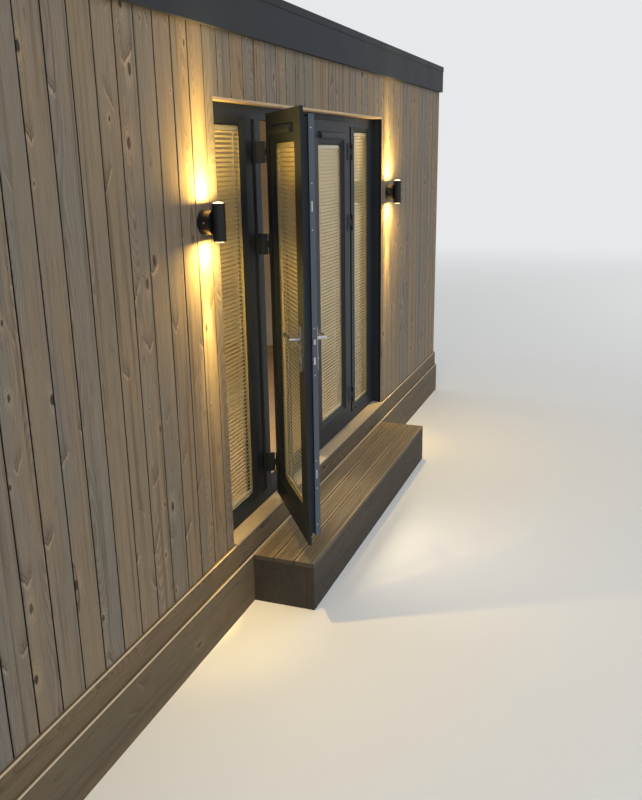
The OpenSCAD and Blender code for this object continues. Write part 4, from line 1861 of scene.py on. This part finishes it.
@dataclass
class Leaf:
    """One door leaf: its foil, glazing, lock edge and hardware.

    Attributes:
        body: The body that it rides on.
        hinge: The hinge axis at rest.
        angle: How far the leaf is turned from shut at rest, in degrees.
        mirrored: Whether the leaf is hung on the right.
        width: Width of the leaf.
        height: Height of the leaf.
        foot: Height of the leaf's bottom above the ground.
        sash: Width of its stiles and rails.
        axis_side: Distance from the leaf's edge to the hinge axis.
        axis_out: Distance from the leaf's face to the hinge axis.
        glass_in: Depth from the face to the glass.
        lip: Width of the lip.
        lock_from: Depth from the face to the lock's face plate.
        lock_w: Width of the face plate.
        plate_in: Distance from the leaf's top and bottom to the face plate's ends.
        plate_t: Thickness of the face plate.
        play: Gap on each side of the face plate, and the size of its bevel.
        sunk: How far the face plate lies below the leaf's edge.
        bolt_root: How deep the latch and the bolts reach in.
        latch: Where the latch begins and ends above the leaf's bottom.
        latch_half: Half of the latch's width.
        latch_out: How far the latch stands out at its tip and at its heel.
        bolts: Where each bolt begins and ends above the leaf's bottom, half its
            width, and how far it stands out.
        lock_screws: Height of each screw in the face plate above the leaf's bottom.
        lock_screw_r: Radius of those screws' heads.
        flag_t: Thickness of a hinge flag.
        flag_screws: Place of each screw in a flag, from the axis and from its middle.
        flag_screw_r: Radius of those screws' heads.
        drops: Distance from the leaf's top to the middle of each hinge.
    """

    body: Body
    hinge: Point
    angle: float = 0.0
    mirrored: bool = False
    width: float = 0.702
    height: float = 2.018
    foot: float = 0.437
    sash: float = 0.110
    axis_side: float = 0.008
    axis_out: float = 0.013
    glass_in: float = 0.018
    lip: float = 0.032
    lock_from: float = 0.047
    lock_w: float = 0.016
    plate_in: float = 0.060
    plate_t: float = 0.003
    play: float = 0.0004
    sunk: float = 0.0001
    bolt_root: float = 0.002
    latch: tuple[float, float] = (0.985, 1.010)
    latch_half: float = 0.006
    latch_out: tuple[float, float] = (0.010, 0.0015)
    bolts: tuple[tuple[float, float, float, float], ...] = (
        (0.330, 0.375, 0.0035, 0.0012),
        (1.580, 1.625, 0.0035, 0.0012),
        (0.890, 0.925, 0.005, 0.0015),
    )
    lock_screws: tuple[float, ...] = (0.09, 0.28, 0.42, 0.84, 1.06, 1.5, 1.7, 1.93)
    lock_screw_r: float = 0.0035
    flag_t: float = 0.004
    flag_screws: tuple[tuple[float, float], ...] = ((0.020, 0.036), (0.038, 0.0), (0.020, -0.036))
    flag_screw_r: float = 0.0045
    drops: tuple[float, float, float] = (0.183, 0.638, 1.835)

    @property
    def name(self) -> str:
        """The start of its pieces' and nodes' names."""
        return self.body.value

    @property
    def place(self) -> Matrix:
        """The matrix from across the leaf, into the room and up, about its hinge axis."""
        turn = Matrix.Rotation(math.radians(self.angle), 4, "Z")
        flip = Matrix.Diagonal((-1.0 if self.mirrored else 1.0, 1.0, 1.0, 1.0))
        return Matrix.Translation((self.hinge[0], self.hinge[1], 0.0)) @ turn @ flip

    def unit(self) -> SealedUnit:
        """The leaf's sealed unit."""
        corner = (self.axis_side + self.sash, self.axis_out + self.glass_in, self.foot + self.sash)
        place = self.place @ Matrix.Translation(corner)
        width, height = self.width - 2 * self.sash, self.height - 2 * self.sash
        return SealedUnit(self.name, self.body, place, width, height)

    def lock_edge(self) -> Pieces:
        """Builds the lock's face plate in the groove of the meeting stile.

        Yields:
            The face plate with its latch and bolts, and its screws.
        """
        edge = self.axis_side + self.width - self.lip
        front = self.axis_out + self.lock_from
        middle, root = self.lock_w / 2, -self.bolt_root
        place = self.place @ axes(X_AXIS, Y_AXIS, Z_AXIS, (edge, front, self.foot))
        plate = Draft()
        strip = rectangle(-self.plate_t, self.play, -self.sunk, self.lock_w - self.play, self.play)
        plate.prism(strip, place, self.plate_in, self.height - self.plate_in)
        near, far = middle - self.latch_half, middle + self.latch_half
        tip, heel = self.latch_out
        latch = [(root, near), (tip, near), (heel, far), (root, far)]
        plate.prism(latch, place, *self.latch)
        for start, end, half, out in self.bolts:
            bolt = rectangle(root, middle - half, out, middle + half, 2 * self.play)
            plate.prism(bolt, place, start, end)
        yield plate.make(self.name + "_lock_plate", STEEL, body=self.body)
        heads = Draft()
        for level in self.lock_screws:
            seat = (edge - 2 * self.sunk, front + middle, self.foot + level)
            heads.screw(self.place @ axes(Y_AXIS, Z_AXIS, X_AXIS, seat), self.lock_screw_r)
        yield heads.make(self.name + "_lock_screws", STEEL, body=self.body, smooth=True)

    def hinge_screws(self) -> Pieces:
        """Builds the screws in the hinge flags.

        Yields:
            The screws.
        """
        draft = Draft()
        for drop in self.drops:
            for across, up in self.flag_screws:
                level = self.foot + self.height - drop + up
                seat = (self.axis_side + across, self.axis_out - self.flag_t, level)
                draft.screw(self.place @ axes(X_AXIS, Z_AXIS, -Y_AXIS, seat), self.flag_screw_r)
        yield draft.make(self.name + "_hinge_screws", HINGE, body=self.body, smooth=True)

    def build(self) -> Pieces:
        """Dresses the leaf and adds its fine parts.

        Yields:
            Each piece.
        """
        inward = tuple((self.place.to_3x3() @ Y_AXIS).normalized())
        facts = {"hinge": self.hinge, "inward": inward}
        finishes = {
            "_stiles": SatinFoil(name=self.name + "_foil_upright", **facts),
            "_rails": SatinFoil(name=self.name + "_foil_level", run=Run.ALONG_X, **facts),
            "_vent": FRAME_LEVEL,
            "_hinges": HINGE,
            "_glass": GLASS,
            "_handles": STEEL,
        }
        named = {self.name + suffix: finish for suffix, finish in finishes.items()}
        yield from coat({node: named[node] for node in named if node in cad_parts})
        yield from self.unit().build(self.name + "_blind")
        yield from self.lock_edge()
        yield from self.hinge_screws()


@dataclass
class DoorFrame:
    """The fixed frame, its lining and cill, and the two sidelights.

    Attributes:
        face: Where the frame's outer face lies.
        sill: Height of the sill rail's top.
        glass_in: Depth from the face to the glass.
        inner: Distance from the middle to a sidelight's near side.
        outer: Distance from the middle to its far side.
        height: Height of a sidelight.
        bracket: Middle of a hinge bracket's sloped face, from the middle of the front.
        slope: How far that face is turned outward, in degrees.
        hinges: Height of the middle of each hinge.
        screw_up: Distance from there to each of the bracket's two screws.
        screw_r: Radius of their heads.
    """

    face: float = -1.685
    sill: float = 0.464
    glass_in: float = 0.018
    inner: float = 0.8605
    outer: float = 1.240
    height: float = 1.964
    bracket: tuple[float, float] = (0.7295, -1.7098)
    slope: float = 54.0
    hinges: tuple[float, float, float] = (2.272, 1.817, 0.620)
    screw_up: float = 0.036
    screw_r: float = 0.0035

    def hinge_screws(self) -> Pieces:
        """Builds the screws in the brackets that carry the hinges.

        Yields:
            The screws.
        """
        draft = Draft()
        across, depth = self.bracket
        turn = math.radians(self.slope)
        for side in (-1.0, 1.0):
            out = side * math.sin(turn) * X_AXIS - math.cos(turn) * Y_AXIS
            for level in self.hinges:
                for up in (-self.screw_up, self.screw_up):
                    seat = (side * across, depth, level + up)
                    draft.screw(axes(Z_AXIS, out.cross(Z_AXIS), out, seat), self.screw_r)
        yield draft.make("frame_hinge_screws", HINGE, smooth=True)

    def build(self) -> Pieces:
        """Dresses the frame and fills the sidelights.

        Yields:
            Each piece.
        """
        finishes = {"frame_posts": FRAME_UPRIGHT, "frame_rails": FRAME_LEVEL, "frame_hinges": HINGE}
        yield from coat(finishes)
        yield from self.hinge_screws()
        yield from coat({"head_lining": LINING, "cill_board": CILL, "sidelight_glass": GLASS})
        for side, start in (("left", -self.outer), ("right", self.inner)):
            place = Matrix.Translation((start, self.face + self.glass_in, self.sill))
            name, width = side + "_sidelight", self.outer - self.inner
            unit = SealedUnit(name, Body.POD, place, width, self.height)
            yield from unit.build("sidelight_blinds")


@dataclass
class Lamps:
    """The two wall lamps with their lenses and fixings.

    Attributes:
        across: Distance from the middle to a lamp.
        wall: Where the cladding's face lies.
        level: Height of a lamp's middle.
        out: Distance from the wall to the middle of a tube.
        half: Half of a tube's height.
        over: Distance from a tube's end to where its light starts.
        box: Radius of the back box.
        screw_out: Distance from the wall to the screws in the box's sides.
        screw_r: Radius of their heads.
        warmth: Colour of the light that the lamps throw up and down the wall.
        spread_watts: Power of the wide light from a lens.
        spread_d: Diameter of that light.
        lean: How far that light leans towards the wall, in degrees.
        beams: Half angle and lean in degrees of each narrower beam from a lens, and
            its power upward and downward.
        beam_r: Radius of the point that a beam comes from.
    """

    across: float = 1.455
    wall: float = -1.750
    level: float = 1.984
    out: float = 0.078
    half: float = 0.080
    over: float = 0.0055
    box: float = 0.052
    screw_out: float = 0.0312
    screw_r: float = 0.004
    warmth: Colour = (1.0, 0.68, 0.19)
    spread_watts: float = 10.5
    spread_d: float = 0.030
    lean: float = 6.0
    beams: tuple[tuple[float, float, float, float], ...] = (
        (50.0, 6.0, 14.0, 9.0),
        (22.0, 6.0, 76.0, 38.0),
        (10.0, 9.5, 24.0, 240.0),
    )
    beam_r: float = 0.004

    def _throw(
        self, data: bpy.types.Light, place: Point, up: float, lean: float, watts: float
    ) -> None:
        """Hangs one light at a lens.

        Args:
            data: The light.
            place: Where it hangs.
            up: 1 where it shines up and -1 where it shines down.
            lean: How far it leans towards the wall, in degrees.
            watts: Its power.
        """
        data.color = self.warmth
        data.energy = watts
        lamp = bpy.data.objects.new(data.name, data)
        lamp.location = place
        lamp.rotation_euler = (math.radians(180.0 - lean if up > 0 else lean), 0.0, 0.0)
        lamp.visible_camera = lamp.visible_glossy = False
        bpy.context.scene.collection.objects.link(lamp)

    def light(self) -> None:
        """Lights the wall from each lens: a wide glow, and narrower beams within it."""
        for side in (-1.0, 1.0):
            for up in (-1.0, 1.0):
                level = self.level + up * (self.half + self.over)
                place = (side * self.across, self.wall - self.out, level)
                wide = bpy.data.lights.new("lamp_glow", "AREA")
                wide.shape, wide.size = "DISK", self.spread_d
                self._throw(wide, place, up, self.lean, self.spread_watts)
                for half_angle, lean, upward, downward in self.beams:
                    beam = bpy.data.lights.new("lamp_beam", "SPOT")
                    beam.spot_size, beam.spot_blend = math.radians(2 * half_angle), 1.0
                    beam.shadow_soft_size = self.beam_r
                    self._throw(beam, place, up, lean, upward if up > 0 else downward)

    def build(self) -> Pieces:
        """Dresses the lamps and adds their fixings.

        Yields:
            Each piece.
        """
        self.light()
        yield from coat({"wall_lamps": LAMP, "lamp_lenses": LENS})
        draft = Draft()
        depth = self.wall - self.screw_out
        for side in (-1.0, 1.0):
            for turn in (-1.0, 1.0):
                seat = (side * self.across + turn * self.box, depth, self.level)
                draft.screw(axes(Y_AXIS, Z_AXIS, turn * X_AXIS, seat), self.screw_r)
        yield draft.make("lamp_screws", STEEL, smooth=True)


@dataclass
class DeckStep:
    """The low deck in front of the doors."""

    def build(self) -> Pieces:
        """Dresses the deck's nodes, one after another."""
        yield from coat({"deck_boards": DECK, "deck_frame": DECK_FRAME})


# Studio


@dataclass(frozen=True)
class Softbox:
    """A large soft lamp that neither the camera nor a mirror sees.

    Attributes:
        name: The lamp's name.
        place: Where it hangs.
        target: What it points at.
        power: Its power in watts.
        size: The length of its sides.
        colour: Colour of its light.
        spread: How wide its light spreads, in degrees.
    """

    name: str
    place: Point
    target: Point
    power: float
    size: float = 7.0
    colour: Colour = (1.0, 1.0, 1.0)
    spread: float = 180.0

    def hang(self) -> None:
        """Puts the lamp into the scene."""
        data = bpy.data.lights.new(self.name, "AREA")
        data.energy, data.size = self.power, self.size
        data.color, data.spread = self.colour, math.radians(self.spread)
        lamp = bpy.data.objects.new(self.name, data)
        lamp.visible_camera = lamp.visible_glossy = False
        away = Vector(self.place) - Vector(self.target)
        lamp.location = self.place
        lamp.rotation_mode = "QUATERNION"
        lamp.rotation_quaternion = away.to_track_quat("Z", "Y")
        bpy.context.scene.collection.objects.link(lamp)


@dataclass
class Studio:
    """The pale floor, the soft light and the camera at the photograph's viewpoint.

    Attributes:
        eye: Where the camera stands.
        heading: Where it looks, in degrees from +X towards +Y.
        dip: How far it looks down, in degrees.
        roll: How far it is rolled, in degrees.
        focal: Focal length in pixels of the photograph.
        long_side: Length of the photograph's long side in pixels.
        sensor: Width of the camera's sensor in millimetres.
        far: Distance past which the camera sees nothing.
        backdrop: Colour of the backdrop.
        air: Colour of the light from all round.
        sky: Strength of the light from all round.
        floor: Colour of the floor.
        floor_r: Radius of the floor.
        floor_z: Height of the floor, just under the pod.
        haze: Distances over which the floor fades into the backdrop.
        lamps: The soft lamps, with the one inside the room last.
    """

    eye: Point = (-4.722, -3.493, 2.254)
    heading: float = 20.375
    dip: float = 16.337
    roll: float = 0.913
    focal: float = 835.93
    long_side: int = 800
    sensor: float = 36.0
    far: float = 200.0
    backdrop: Colour = (0.80, 0.81, 0.82)
    air: Colour = (0.95, 0.98, 1.0)
    sky: float = 0.50
    floor: Colour = (0.82, 0.82, 0.81)
    floor_r: float = 60.0
    floor_z: float = -0.0005
    haze: tuple[float, float] = (5.0, 18.0)
    lamps: tuple[Softbox, ...] = (
        Softbox("key", (-8.0, -9.0, 8.0), (0.0, -0.5, 1.2), 520.0),
        Softbox("fill", (9.0, -8.0, 5.0), (0.0, 0.0, 1.2), 220.0),
        Softbox("rear", (2.0, 11.0, 7.0), (0.0, 0.0, 1.2), 320.0),
        Softbox("room", (-0.4, -0.3, 2.68), (-0.4, -0.3, 0.0), 52.0, 1.6, (1.0, 0.86, 0.66), 120.0),
    )

    def camera(self) -> None:
        """Sets up the camera."""
        yaw, pitch, roll = (math.radians(a) for a in (self.heading, self.dip, self.roll))
        ahead = Vector(
            (math.cos(yaw) * math.cos(pitch), math.sin(yaw) * math.cos(pitch), -math.sin(pitch))
        )
        right = Vector((math.sin(yaw), -math.cos(yaw), 0.0))
        down = ahead.cross(right)
        level = math.cos(roll) * right + math.sin(roll) * down
        down = math.cos(roll) * down - math.sin(roll) * right
        data = bpy.data.cameras.new("camera")
        data.sensor_width = self.sensor
        data.lens = self.sensor * self.focal / self.long_side
        data.clip_end = self.far
        camera = bpy.data.objects.new("camera", data)
        camera.matrix_world = axes(level, -down, -ahead, self.eye)
        bpy.context.scene.collection.objects.link(camera)
        bpy.context.scene.camera = camera

    def surroundings(self) -> None:
        """Makes the light from all round, and the pale backdrop that the camera sees."""
        world = bpy.data.worlds.new("studio")
        bpy.context.scene.world = world
        recipe = Recipe(world)
        soft = recipe.nodes["Background"]
        recipe.put(soft.inputs["Color"], self.air)
        recipe.put(soft.inputs["Strength"], self.sky)
        shown = recipe.add("Background", {"Color": self.backdrop})
        recipe.blend(recipe.seen(), recipe.take(soft), shown)

    def ground(self) -> None:
        """Lays the pale floor."""
        mesh = bpy.data.meshes.new("studio_floor")
        rim = [(x, y, self.floor_z) for x, y in ring(self.floor_r, 64)]
        mesh.from_pydata(rim, [], [tuple(range(len(rim)))])
        recipe = Recipe.named("studio_floor")
        recipe.surface(Base_Color=self.floor, Roughness=0.9, Specular_IOR_Level=0.1)
        share = recipe.seen() * recipe.fade(recipe.length(recipe.spot()), *self.haze)
        near = recipe.take(recipe.nodes["Principled BSDF"])
        recipe.blend(share, near, recipe.add("Emission", {"Color": self.backdrop, "Strength": 1.0}))
        mesh.materials.append(recipe.owner)
        floor = bpy.data.objects.new("studio_floor", mesh)
        bpy.context.scene.collection.objects.link(floor)

    def build(self) -> None:
        """Sets up the camera, the floor and the light."""
        self.camera()
        self.ground()
        self.surroundings()
        for lamp in self.lamps:
            lamp.hang()
        bpy.context.scene.view_settings.view_transform = "Standard"


def main() -> None:
    """Builds the part's sub-assemblies in order."""
    logging.basicConfig(level=logging.INFO, format="%(message)s")
    Studio().build()
    assemblies: list[Assembly] = [
        Cladding(),
        Plinth(),
        Room(),
        Roof(),
        DoorFrame(),
        Leaf(body=Body.LEFT_DOOR, hinge=(-0.7135, -1.718, 0.0), angle=-144.5),
        Leaf(body=Body.RIGHT_DOOR, hinge=(0.7135, -1.718, 0.0), mirrored=True),
        Lamps(),
        DeckStep(),
    ]
    for assembly in assemblies:
        for piece in assembly.build():
            faces = len(piece.data.polygons)
            log.info("%s: %s, %d faces", type(assembly).__name__, piece.name, faces)


if __name__ == "__main__":
    main()
